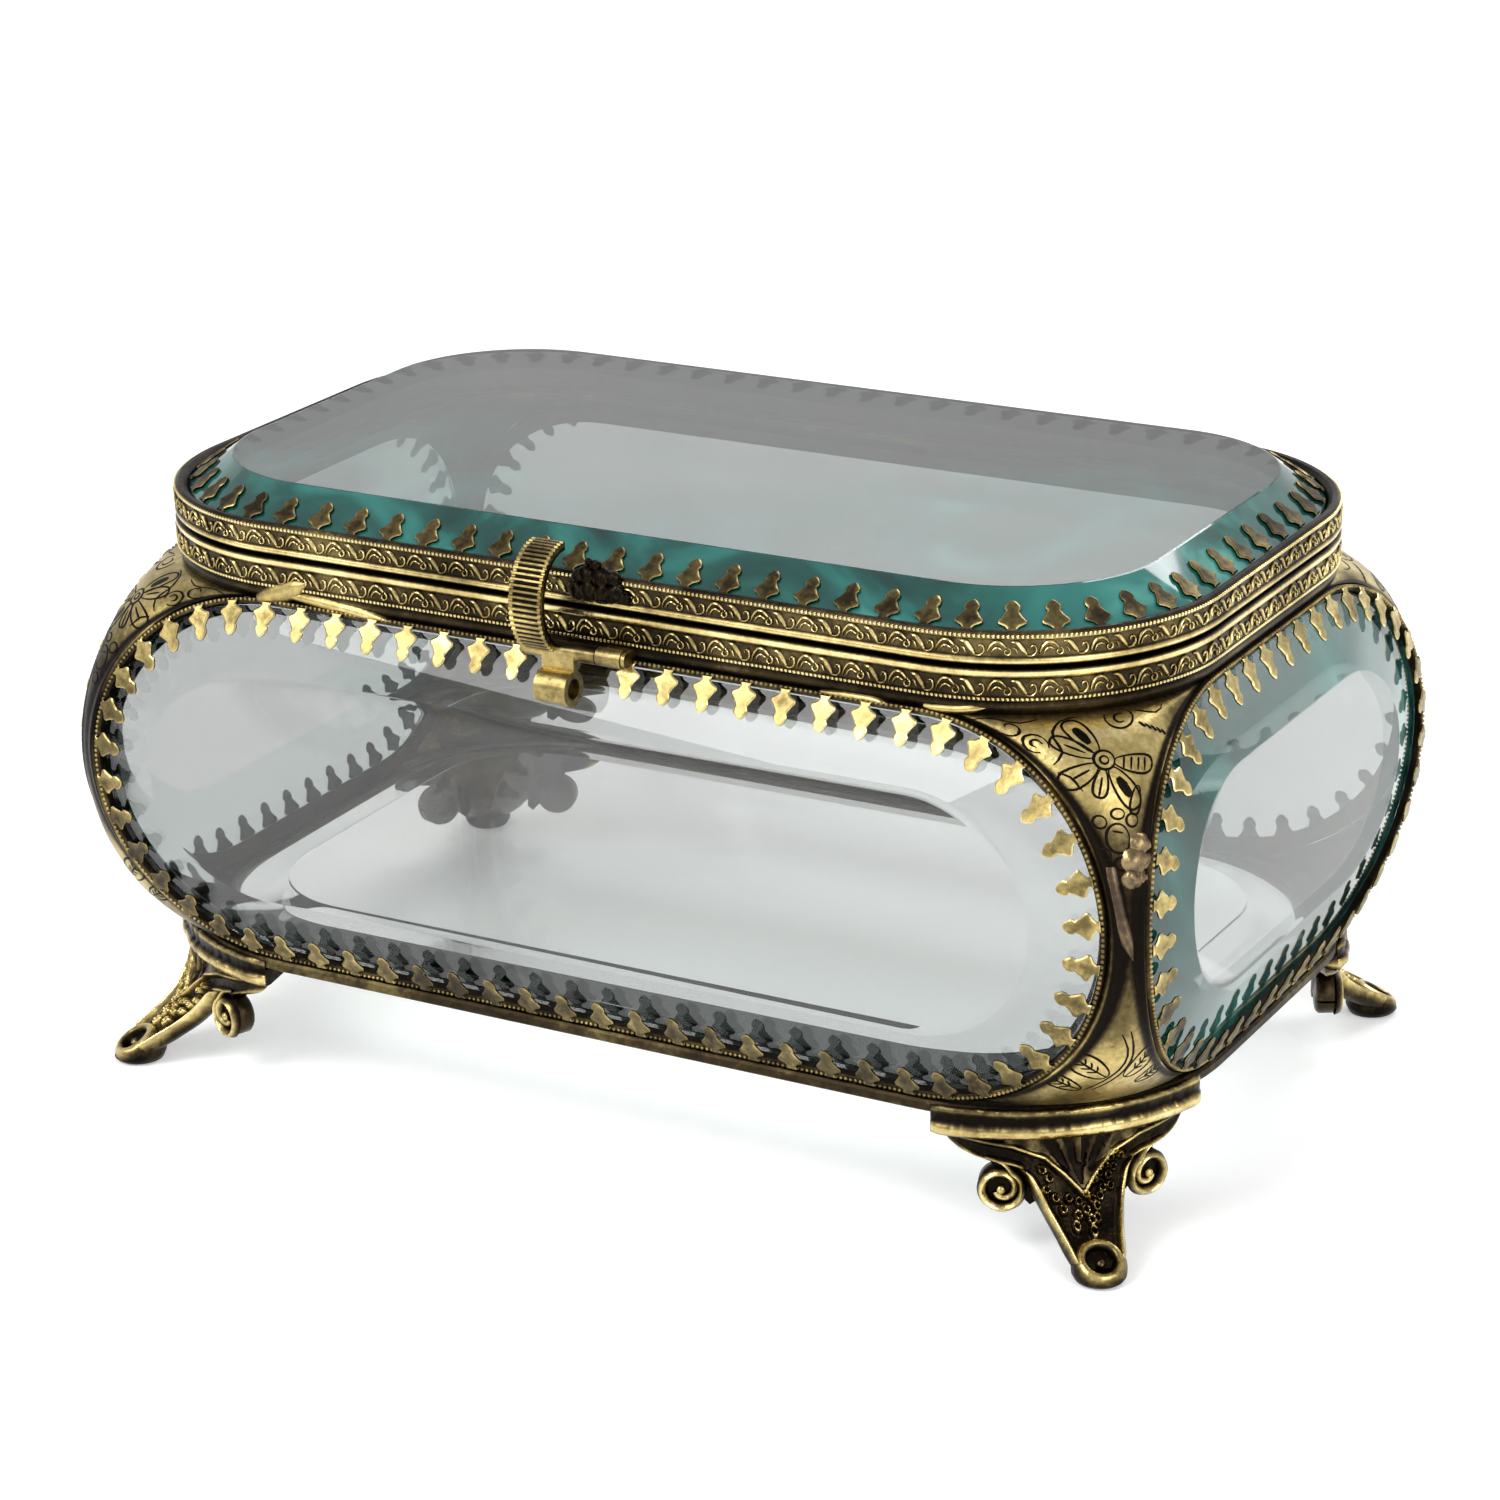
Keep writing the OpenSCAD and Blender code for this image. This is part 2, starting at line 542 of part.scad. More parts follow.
module clasp_lever() color(brass) {
    pitch = (band_to - band_from) / ridges;
    outside = [for (i = [0 : ridges - 1]) let (a = band_from + i * pitch) each [
        band_point(a, 0), band_point(a + 0.25 * pitch, -ridge_h),
        band_point(a + 0.55 * pitch, -ridge_h), band_point(a + 0.8 * pitch, 0)]];
    inside = [for (i = [ridges : -2 : 0]) band_point(band_from + i * pitch, clasp_t)];
    curl_x = clasp_x0 + curl_shift;
    curl_y = clasp_pin_y - 1.2;
    curl_z = clasp_pin_z - curl_drop;
    difference() {
        union() {
            translate([clasp_x0, 0, 0]) rotate([90, 0, 90]) linear_extrude(clasp_w)
                polygon(concat(outside, inside));
            along_front(clasp_x0, clasp_pin_y, clasp_pin_z)
                cylinder(h = clasp_x1 - clasp_x0, r = tube_r);
            along_front(curl_x, curl_y, curl_z) difference() {
                cylinder(h = clasp_w, r = curl_r);
                translate([0, 0, -1]) cylinder(h = clasp_w + 2, r = curl_r - clasp_t);
            }
            translate([curl_x, clasp_pin_y - 1.1, curl_z + curl_r - 0.5])
                cube([clasp_w, clasp_t, curl_drop - curl_r + 0.4]);
        }
        along_front(clasp_x0 - 1, clasp_pin_y, clasp_pin_z)
            cylinder(h = clasp_x1 - clasp_x0 + 2, r = pin_r + pin_gap);
    }
}
module clasp_pin() color(bright_brass)
    pin(clasp_x0, clasp_x1 - clasp_x0 + knuckle_gap + bracket_len, clasp_pin_y, clasp_pin_z);
module clasp_bracket() color(bright_brass) {
    x0 = clasp_x1 + knuckle_gap;
    foot_in = 0.15;
    difference() {
        union() {
            along_front(x0, clasp_pin_y, clasp_pin_z) cylinder(h = bracket_len, r = tube_r);
            translate([x0, clasp_pin_y, clasp_pin_z - 0.5])
                cube([bracket_len, clasp_pin_out + foot_in, 1]);
        }
        along_front(x0 - 1, clasp_pin_y, clasp_pin_z)
            cylinder(h = bracket_len + 2, r = pin_r + pin_gap);
    }
}
catch_len = 7.8;
catch_gap = 0.6;
module lid_catch() color(dark_brass) {
    x0 = clasp_x + clasp_w / 2 + catch_gap;
    y = -half_wid;
    z0 = lid_rim_z + 0.9;
    translate([x0, 0, 0]) rotate([90, 0, 90]) linear_extrude(catch_len)
        polygon([[y - 0.2, z0], [y - 0.8, z0], [y - 1.3, z0 + 0.8], [y - 1.5, z0 + 2.2],
            [y - 1.1, z0 + 3], [y - 0.6, z0 + 3.4], [y - 0.2, z0 + 3.4]]);
}

bottom_frame();
bottom_glass();
front_glass();
back_glass();
left_glass();
right_glass();
front_bezel();
back_bezel();
left_bezel();
right_bezel();
front_claws();
back_claws();
left_claws();
right_claws();
front_left_pillar();
front_right_pillar();
back_left_pillar();
back_right_pillar();
body_rim();
front_left_foot();
front_right_foot();
back_left_foot();
back_right_foot();
lid_rim();
lid_glass();
lid_claws();
body_hinge_leaf();
lid_hinge_leaf();
hinge_pin();
clasp_bracket();
clasp_pin();
clasp_lever();
lid_catch();
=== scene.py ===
import math

import bmesh
import bpy
import numpy as np
from mathutils import Matrix, Vector


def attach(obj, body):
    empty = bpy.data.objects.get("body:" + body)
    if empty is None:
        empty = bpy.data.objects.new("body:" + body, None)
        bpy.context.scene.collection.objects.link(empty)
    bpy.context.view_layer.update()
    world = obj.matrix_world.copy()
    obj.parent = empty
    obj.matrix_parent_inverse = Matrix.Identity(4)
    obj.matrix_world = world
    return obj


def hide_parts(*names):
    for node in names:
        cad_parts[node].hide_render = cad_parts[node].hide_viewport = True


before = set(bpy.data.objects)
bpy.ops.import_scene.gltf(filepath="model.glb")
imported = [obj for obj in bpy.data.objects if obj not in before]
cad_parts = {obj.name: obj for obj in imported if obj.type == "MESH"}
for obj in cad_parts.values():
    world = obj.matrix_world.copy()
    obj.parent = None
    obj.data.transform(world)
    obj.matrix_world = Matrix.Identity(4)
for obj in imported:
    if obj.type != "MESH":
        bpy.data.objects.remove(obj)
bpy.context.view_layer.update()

metre = 0.001  # the pieces are drawn in millimetres
print("frame loaded:", len(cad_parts), "nodes")

casket = {  # the form that all the pieces share, in millimetres
    "lidLength": 144.0, "lidWidth": 86.0, "cornerRadius": 26.5,
    "footHeight": 17.2, "panelBottom": 18.95, "panelHeight": 48.2,
    "topIn": 1.0, "bellyOut": 2.8, "bottomOut": 0.0,
    "windowCornerHeight": 24.0, "waistFront": 3.3, "waistSide": 2.0,
    "bodyRimBottom": 67.5, "bodyRimHeight": 5.6, "lidGap": 0.3, "lidRimHeight": 3.9,
}
halfLength = casket["lidLength"] / 2
halfWidth = casket["lidWidth"] / 2
cornerX = halfLength - casket["cornerRadius"]
cornerY = halfWidth - casket["cornerRadius"]
panelTop = casket["panelBottom"] + casket["panelHeight"]
seam = casket["bodyRimBottom"] + casket["bodyRimHeight"]
lidBottom = seam + casket["lidGap"]

# The bulging sides share one upright arc: v runs up along it, n stands out from it
sag = casket["bellyOut"] - (casket["bottomOut"] - casket["topIn"]) / 2
chord = math.hypot(casket["panelHeight"], casket["topIn"] + casket["bottomOut"])
arcRadius = (chord ** 2 / 4 + sag ** 2) / (2 * sag)
arcHalf = math.asin(chord / 2 / arcRadius)
arcLength = 2 * arcHalf * arcRadius
chordLean = math.atan2(casket["topIn"] + casket["bottomOut"], casket["panelHeight"])
arcCentre = (
    (casket["bottomOut"] - casket["topIn"]) / 2 - (arcRadius - sag) * math.cos(chordLean),
    (casket["panelBottom"] + panelTop) / 2 - (arcRadius - sag) * math.sin(chordLean),
)


def tilt(v):
    return np.asarray(v) / arcRadius - arcHalf + chordLean


def arcPoint(v, n):
    a = tilt(v)
    return arcCentre[0] + (arcRadius + n) * np.cos(a), arcCentre[1] + (arcRadius + n) * np.sin(a)


def windowOval(half, corner, waist):  # corner centre, its semi-axis, centre height, top and bottom semi-axes
    return {
        "corner": corner, "across": half + casket["bellyOut"] - waist - corner,
        "centre": arcLength - casket["windowCornerHeight"],
        "up": casket["windowCornerHeight"], "down": arcLength - casket["windowCornerHeight"],
    }


frontOval = windowOval(halfLength, cornerX, casket["waistFront"])
sideOval = windowOval(halfWidth, cornerY, casket["waistSide"])
faces = {  # quarter turns from the front, the window, its distance from the middle
    "front": (0, frontOval, halfWidth), "right": (1, sideOval, halfLength),
    "back": (2, frontOval, halfWidth), "left": (3, sideOval, halfLength),
}


def turned(x, y, quarters):
    for _ in range(quarters):
        x, y = -y, x
    return x, y


def facePoints(face, u, v, n):
    quarters, _, reach = faces[face]
    out, z = arcPoint(v, n)
    u = np.asarray(u) + 0.0 * out
    x, y = turned(u, -(reach + out), quarters)
    return np.stack([x, y, z], axis=-1)


def ovalPath(oval, inset, perQuarter):  # u, v and the outward direction, anticlockwise from the right
    a = np.linspace(0, math.pi / 2, perQuarter + 1)
    parts = []
    for turn in range(4):
        b = a + turn * math.pi / 2
        side = 1 if turn in (0, 3) else -1
        rise = oval["up"] if turn < 2 else oval["down"]
        u = side * oval["corner"] + (oval["across"] - inset) * np.cos(b)
        v = oval["centre"] + (rise - inset) * np.sin(b)
        way = np.unwrap(np.arctan2(oval["across"] * np.sin(b), rise * np.cos(b)))
        way = way + (2 * math.pi if way[len(way) // 2] < 0 else 0)
        parts.append(np.stack([u, v, way], axis=-1))
    return np.concatenate(parts)


def alongPath(path, spacing, closed=True, shift=0.5):  # evenly spaced places on a path
    shut = np.concatenate([path, path[:1] + [0, 0, 2 * math.pi]]) if closed else path
    steps = np.hypot(*np.diff(shut[:, :2], axis=0).T)
    run = np.concatenate([[0], np.cumsum(steps)])
    count = int(run[-1] // spacing)
    s = (np.arange(count) + shift) * run[-1] / count
    return np.stack([np.interp(s, run, shut[:, k]) for k in range(3)], axis=-1)


def rimRun():  # length of the lid rim's outline
    return 4 * cornerX + 4 * cornerY + 2 * math.pi * casket["cornerRadius"]


def rimPoints(s, off, z):  # s runs from the middle of the front to the right, off stands out from the outline
    s = np.mod(np.asarray(s, float), rimRun())
    arc = math.pi / 2 * casket["cornerRadius"]
    stops = np.cumsum([0, cornerX, arc, 2 * cornerY, arc, 2 * cornerX, arc, 2 * cornerY, arc, cornerX])
    lead = s[..., None] - stops[:-1]
    span = np.clip(np.searchsorted(stops, s, side="right") - 1, 0, 8)
    t = np.take_along_axis(lead, span[..., None], -1)[..., 0]
    start = np.array([[0, -halfWidth], [cornerX, -cornerY], [halfLength, -cornerY], [cornerX, cornerY],
                      [cornerX, halfWidth], [-cornerX, cornerY], [-halfLength, cornerY],
                      [-cornerX, -cornerY], [-cornerX, -halfWidth]], float)
    heading = np.array([0, 0, 1, 1, 2, 2, 3, 3, 4]) * math.pi / 2
    bend = span % 2 == 1
    angle = heading[span] + np.where(bend, t / casket["cornerRadius"], 0)
    nx, ny = np.sin(angle), -np.cos(angle)
    r = casket["cornerRadius"]
    x = start[span, 0] + np.where(bend, r * nx, t * np.cos(angle)) + off * nx
    y = start[span, 1] + np.where(bend, r * ny, t * np.sin(angle)) + off * ny
    return np.stack([x, y, np.broadcast_to(z, x.shape)], axis=-1)


# Mesh helpers
def newDrawing():
    bm = bmesh.new()
    bm.verts.layers.float.new("relief")
    bm.verts.layers.float.new("tint")
    return bm


def mappedGrid(bm, columns, rows, place):
    # place takes arrays of shares across and up, and gives points, relief and tint
    made = bmesh.ops.create_grid(bm, x_segments=columns, y_segments=rows, size=0.5)["verts"]
    flat = np.array([v.co[:2] for v in made]) + 0.5
    points, relief, tint = place(flat[:, 0], flat[:, 1])
    layers = [bm.verts.layers.float["relief"], bm.verts.layers.float["tint"]]
    relief = np.broadcast_to(relief, len(made))
    tint = np.broadcast_to(tint, len(made))
    for vert, point, high, green in zip(made, points, relief, tint):
        vert.co = point
        vert[layers[0]] = high
        vert[layers[1]] = green
    return made


def smoothRun(path, steps):  # a smooth run through the given points
    path = np.asarray(path, float)
    run = np.concatenate([[0], np.cumsum(np.linalg.norm(np.diff(path[:, :2], axis=0), axis=1))])
    t = np.interp(np.linspace(0, run[-1], steps), run, np.arange(len(path)))
    k = np.clip(t.astype(int), 0, len(path) - 2)
    f = (t - k)[:, None]
    p0, p1 = path[np.maximum(k - 1, 0)], path[k]
    p2, p3 = path[k + 1], path[np.minimum(k + 2, len(path) - 1)]
    square = (2 * p0 - 5 * p1 + 4 * p2 - p3) * f ** 2
    cube = (3 * p1 - p0 - 3 * p2 + p3) * f ** 3
    return 0.5 * (2 * p1 + (p2 - p0) * f + square + cube)


def loftRings(bm, rings, relief=None, tint=None, closed=False, capStart=False, capEnd=False):
    # rings is a list of (count, 3) arrays; each next ring is extruded from the last
    count = len(rings[0])
    place = bm.verts.layers.int.get("place") or bm.verts.layers.int.new("place")
    high = bm.verts.layers.float["relief"]
    green = bm.verts.layers.float["tint"]
    made = bmesh.ops.create_circle(bm, segments=count, radius=1)["verts"]
    for k, vert in enumerate(made):
        vert[place] = k
    inside = set(made)
    edges = [e for e in {e for v in made for e in v.link_edges} if set(e.verts) <= inside]
    first = list(edges)
    for step, ring in enumerate(rings):
        if step:
            out = bmesh.ops.extrude_edge_only(bm, edges=edges)["geom"]
            made = [g for g in out if isinstance(g, bmesh.types.BMVert)]
            edges = [g for g in out if isinstance(g, bmesh.types.BMEdge)]
        for vert in made:
            vert.co = ring[vert[place]]
            vert[high] = 0 if relief is None else float(np.broadcast_to(relief[step], count)[vert[place]])
            vert[green] = 0 if tint is None else float(np.broadcast_to(tint[step], count)[vert[place]])
    if closed:
        bmesh.ops.bridge_loops(bm, edges=first + edges)
    if capStart:
        bmesh.ops.contextual_create(bm, geom=first)
    if capEnd:
        bmesh.ops.contextual_create(bm, geom=edges)


def spotsOf(mesh):
    spots = np.empty(len(mesh.vertices) * 3, np.float32)
    mesh.vertices.foreach_get("co", spots)
    return spots.reshape(-1, 3).astype(float)


def meshFrom(bm):
    mesh = bpy.data.meshes.new("template")
    bm.to_mesh(mesh)
    bm.free()
    return mesh


def addCopies(bm, template, count, place):  # place takes the copy's number and the template's points
    holder = bpy.data.objects.new("holder", template)
    bpy.context.scene.collection.objects.link(holder)
    array = holder.modifiers.new("copies", "ARRAY")
    array.count = count
    array.use_relative_offset = False
    made = bpy.data.meshes.new_from_object(holder.evaluated_get(bpy.context.evaluated_depsgraph_get()))
    bpy.data.objects.remove(holder)
    spots = spotsOf(template)
    made.vertices.foreach_set("co", np.concatenate([place(k, spots) for k in range(count)]).ravel())
    bm.from_mesh(made)
    bpy.data.meshes.remove(made)


def finishPiece(bm, name, body, material, nodes=(), recalc=True, sharp=None, weld=1e-3, smoke=0.0):
    bmesh.ops.remove_doubles(bm, verts=bm.verts, dist=weld)
    if smoke:
        smokeAndShadeLayer = bm.verts.layers.float.new("smoke")
        for vert in bm.verts:
            vert[smokeAndShadeLayer] = smoke
    if recalc:
        bmesh.ops.recalc_face_normals(bm, faces=bm.faces)
    for face in bm.faces:
        face.smooth = True
    if sharp is not None:
        for edge in bm.edges:
            if len(edge.link_faces) == 2 and edge.calc_face_angle() > math.radians(sharp):
                edge.smooth = False
    bmesh.ops.scale(bm, vec=(metre, metre, metre), verts=bm.verts)
    mesh = bpy.data.meshes.new(name)
    bm.to_mesh(mesh)
    bm.free()
    piece = bpy.data.objects.new(name, mesh)
    bpy.context.scene.collection.objects.link(piece)
    mesh.materials.append(material)
    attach(piece, body)
    if nodes:
        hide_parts(*nodes)
    return piece


# Materials
class Wire:  # a socket that takes part in sums
    def __init__(self, board, socket):
        self.board = board
        self.socket = socket

    def sum(self, operation, other, swap=False):
        first, second = (other, self) if swap else (self, other)
        return self.board.add("ShaderNodeMath", {"operation": operation}, {0: first, 1: second})

    def __add__(self, other):
        return self.sum("ADD", other)

    def __radd__(self, other):
        return self.sum("ADD", other, True)

    def __sub__(self, other):
        return self.sum("SUBTRACT", other)

    def __rsub__(self, other):
        return self.sum("SUBTRACT", other, True)

    def __mul__(self, other):
        return self.sum("MULTIPLY", other)

    def __rmul__(self, other):
        return self.sum("MULTIPLY", other, True)

    def clamped(self, low=0.0, high=1.0):
        return self.sum("MAXIMUM", low).sum("MINIMUM", high)


class Board:  # one material's node tree
    def __init__(self, name):
        self.material = bpy.data.materials.new(name)
        self.material.use_nodes = True
        self.tree = self.material.node_tree
        self.tree.nodes.clear()

    def add(self, kind, settings=None, inputs=None, output=0):
        node = self.tree.nodes.new(kind)
        for key, value in (settings or {}).items():
            if key == "stops":
                ramp = node.color_ramp
                while len(ramp.elements) < len(value):
                    ramp.elements.new(0.5)
                for element, (position, colour) in zip(ramp.elements, value):
                    element.position = position
                    element.color = (*colour, 1)
            else:
                setattr(node, key, value)
        for key, value in (inputs or {}).items():
            if isinstance(value, Wire):
                self.tree.links.new(value.socket, node.inputs[key])
            else:
                node.inputs[key].default_value = value
        return Wire(self, node.outputs[output]) if len(node.outputs) else None

    def noise(self, vector, scale, detail=4.0, roughness=0.6, distortion=0.0):
        return self.add("ShaderNodeTexNoise", None, {
            "Vector": vector, "Scale": scale, "Detail": detail,
            "Roughness": roughness, "Distortion": distortion})

    def mixColour(self, factor, first, second, blend="MIX"):
        return self.add("ShaderNodeMix", {"data_type": "RGBA", "blend_type": blend},
                        {0: factor, 6: first, 7: second}, output=2)

    def finish(self, shader):
        self.add("ShaderNodeOutputMaterial", None, {"Surface": shader})
        return self.material


def ribMark(board, spot, ribs):  # dark grooves for the knurled band, and painted shade on the band's inside
    parts = board.add("ShaderNodeSeparateXYZ", None, {0: spot})
    x, y, z = [Wire(board, parts.socket.node.outputs[axis]) for axis in ("X", "Y", "Z")]
    across = ((y - ribs["y"] * metre) * (1 / (ribs["depth"] * metre))).sum("POWER", 2.0)
    upward = ((z - ribs["z"] * metre) * (1 / (ribs["rise"] * metre))).sum("POWER", 2.0)
    ring = (across + upward).sum("POWER", 0.5)
    outside = ((1.0 + ribs["height"] - ring) * (1 / ribs["height"])).clamped()
    groove = outside * ((ring - ribs["start"]) * ribs["startSharp"]).clamped()
    aside = (x - ribs["x"] * metre).sum("ABSOLUTE", 0.0)
    middle = ((ribs["half"] * metre - aside) * ribs["sideSharp"]).clamped()
    # painted shade: the inside of the curled band is darkened
    inside = ((ribs["inside"] - ring) * ribs["insideSharp"]).clamped()
    return groove * middle * ribs["pull"] - inside * ribs["insideShade"]


brassWear = {"middleHeight": 0.05, "cloudShare": 0.28, "grainScale": 1400.0, "grainPull": 0.35,
             "wornSmooth": 0.22, "grainRough": 0.25, "roughRange": (0.12, 0.8), "bumpDepth": 0.00025}
brassStops = [(0.0, (0.009, 0.007, 0.005)), (0.28, (0.045, 0.032, 0.016)), (0.52, (0.175, 0.135, 0.056)),
              (0.78, (0.56, 0.43, 0.165)), (1.0, (0.9, 0.76, 0.38))]


def agedBrass(name, look):  # look may have its own stops, ribs or a pull by height
    board = Board(name)
    spot = board.add("ShaderNodeTexCoord", output="Object")
    relief = board.add("ShaderNodeAttribute", {"attribute_name": "relief"}, output="Fac")
    if "ribs" in look:
        relief = relief + ribMark(board, spot, look["ribs"])
    if "heightPull" in look:
        height = board.add("ShaderNodeSeparateXYZ", None, {0: spot}, output=2)
        relief = relief + (height - brassWear["middleHeight"]) * look["heightPull"]
    patches = board.noise(spot, look["patchScale"], 5.0, 0.62, 0.4)
    clouds = board.noise(spot, look["patchScale"] * brassWear["cloudShare"], 2.0, 0.5)
    grain = board.noise(spot, brassWear["grainScale"], 3.0, 0.6)
    # Relief lightens raised parts and darkens hollows: part real patina, part painted shade and painted
    # highlight standing in for occlusion and dark reflections
    wearAndShade = relief * look["reliefPull"] + (patches - 0.5) * look["patchPull"]
    wearAndShade = wearAndShade + (clouds - 0.5) * look["cloudPull"]
    wearAndShade = (wearAndShade + (grain - 0.5) * brassWear["grainPull"] + look["polishAndShade"]).clamped()
    colour = board.add("ShaderNodeValToRGB", {"stops": look.get("stops", brassStops)}, {"Fac": wearAndShade})
    rough = look["roughness"] + brassWear["wornSmooth"] - wearAndShade * brassWear["wornSmooth"]
    rough = (rough + (grain - 0.5) * brassWear["grainRough"]).clamped(*brassWear["roughRange"])
    bump = board.add("ShaderNodeBump", None, {
        "Height": grain * 0.4 + patches * 0.6, "Strength": look["bump"],
        "Distance": brassWear["bumpDepth"]})
    shader = board.add("ShaderNodeBsdfPrincipled", None, {
        "Base Color": colour, "Metallic": 1.0, "Roughness": rough, "Normal": bump})
    return board.finish(shader)


def bevelledGlass(name, look):
    board = Board(name)
    spot = board.add("ShaderNodeTexCoord", output="Object")
    tint = board.add("ShaderNodeAttribute", {"attribute_name": "tint"}, output="Fac")
    streaks = board.noise(spot, 38.0, 3.0, 0.55, 1.6)
    green = board.add("ShaderNodeValToRGB", {"stops": look["bevelStops"]}, {"Fac": streaks})
    smoke = board.add("ShaderNodeAttribute", {"attribute_name": "smoke"}, output="Fac")
    plain = board.mixColour(smoke, (*look["clear"], 1), (*look["smokeAndShadeColour"], 1))
    colour = board.mixColour((tint * look["tintReach"]).clamped(), plain, (*look["bevelClear"], 1))
    clear = board.add("ShaderNodeBsdfPrincipled", None, {
        "Base Color": colour, "Metallic": 0.0, "Roughness": 0.0, "IOR": 1.5, "Transmission Weight": 1.0})
    # Painted edge light: a nearly opaque dark teal stands in for light seen along the glass through its bevels
    paintedEdgeTeal = board.add("ShaderNodeBsdfPrincipled", None, {
        "Base Color": green, "Metallic": 0.0, "Roughness": 0.06, "IOR": 1.5, "Coat Weight": 0.5})
    depth = (tint * (look["deepBase"] + streaks * look["deepStreaks"])).clamped(0.0, look["deepMost"])
    body = board.add("ShaderNodeMixShader", None, {0: depth, 1: clear, 2: paintedEdgeTeal})
    shade = board.add("ShaderNodeBsdfTransparent", None, {"Color": (*look["shadow"], 1)})
    shadowRay = board.add("ShaderNodeLightPath", output="Is Shadow Ray")
    return board.finish(board.add("ShaderNodeMixShader", None, {0: shadowRay, 1: body, 2: shade}))


solderStops = [(0.0, (0.014, 0.01, 0.008)), (0.35, (0.1, 0.07, 0.048)), (0.7, (0.42, 0.31, 0.15)),
               (1.0, (0.86, 0.7, 0.4))]
leverRibs = {  # the band is an ellipse about x, y and z, and the lengths are in millimetres
    "x": -3.0, "y": -43.8, "z": 74.25, "depth": 5.8, "rise": 6.8, "half": 1.75, "height": 0.033, "pull": -1.7,
    "start": 0.985, "startSharp": 100.0, "sideSharp": 9000.0,
    "inside": 0.94, "insideSharp": 25.0, "insideShade": 1.1,
}
finishes = {
    "rims": {"patchScale": 150, "reliefPull": 0.44, "patchPull": 0.8, "cloudPull": 0.8, "polishAndShade": 0.43,
             "roughness": 0.22, "bump": 0.3},
    "bezels": {"patchScale": 170, "reliefPull": 0.42, "patchPull": 0.7, "cloudPull": 0.5, "polishAndShade": 0.34,
               "roughness": 0.28, "bump": 0.3},
    "claws": {"patchScale": 260, "reliefPull": 0.4, "patchPull": 0.9, "cloudPull": 0.6, "polishAndShade": 0.56,
              "roughness": 0.24, "bump": 0.35, "heightPull": 20.0},
    # The lid's claws take a darker copy of the claws' finish: painted shade
    "lidClaws": {"patchScale": 260, "reliefPull": 0.5, "patchPull": 0.7, "cloudPull": 0.5, "polishAndShade": 0.27,
                 "roughness": 0.3, "bump": 0.4},
    "pillars": {"patchScale": 140, "reliefPull": 0.42, "patchPull": 0.8, "cloudPull": 0.5, "polishAndShade": 0.52,
                "roughness": 0.27, "bump": 0.5},
    "feet": {"patchScale": 210, "reliefPull": 0.44, "patchPull": 0.95, "cloudPull": 0.6, "polishAndShade": 0.41,
             "roughness": 0.2, "bump": 0.5},
    "clasp": {"patchScale": 200, "reliefPull": 0.42, "patchPull": 0.6, "cloudPull": 0.4, "polishAndShade": 0.56,
              "roughness": 0.22, "bump": 0.3},
    "lever": {"patchScale": 200, "reliefPull": 0.42, "patchPull": 0.6, "cloudPull": 0.4, "polishAndShade": 0.6,
              "roughness": 0.22, "bump": 0.3, "ribs": leverRibs},
    "darkSolder": {"patchScale": 160, "reliefPull": 0.6, "patchPull": 0.3, "cloudPull": 0.2, "polishAndShade": 0.12,
                   "roughness": 0.16, "bump": 0.5},
    "solder": {"patchScale": 260, "reliefPull": 0.4, "patchPull": 0.7, "cloudPull": 0.3, "polishAndShade": 0.46,
               "roughness": 0.22, "bump": 0.6, "stops": solderStops},
}
metals = {name: agedBrass("gilt " + name, look) for name, look in finishes.items()}
glassLook = {  # a pane's grey runs from the clear to the dark grey colour: part grey old glass, part painted shade
    "clear": (0.97, 0.98, 0.98), "smokeAndShadeColour": (0.3, 0.303, 0.294), "bevelClear": (0.5, 0.72, 0.68),
    "bevelStops": [(0.3, (0.002, 0.026, 0.022)), (0.46, (0.006, 0.075, 0.064)), (0.6, (0.02, 0.17, 0.148)),
                   (0.74, (0.12, 0.44, 0.37))],
    "tintReach": 1.6, "deepBase": 0.72, "deepStreaks": 0.5, "deepMost": 0.94, "shadow": (0.93, 0.95, 0.94),
}
clearGlass = bevelledGlass("bevelled glass", glassLook)
print("materials ready")

# Curved panes
# Each pane's grey is part old glass and part painted shade, heaviest on the back and left panes so the inside
# looks darker through them
paneLook = {
    # the tint is part green glass and part painted edge light, strongest on the right pane
    "front": {"bevel": 8.5, "tint": 0.03, "smoke": 0.2},
    "back": {"bevel": 8.5, "tint": 0.03, "smoke": 0.72},
    "right": {"bevel": 10.0, "tint": 0.55, "smoke": 0.25},
    "left": {"bevel": 10.0, "tint": 0.12, "smoke": 0.8},
    "edge": 0.9, "thin": 2.2, "rise": 1.7, "arris": 0.18, "quarterSteps": 26, "straightSteps": 8, "rows": 26,
}


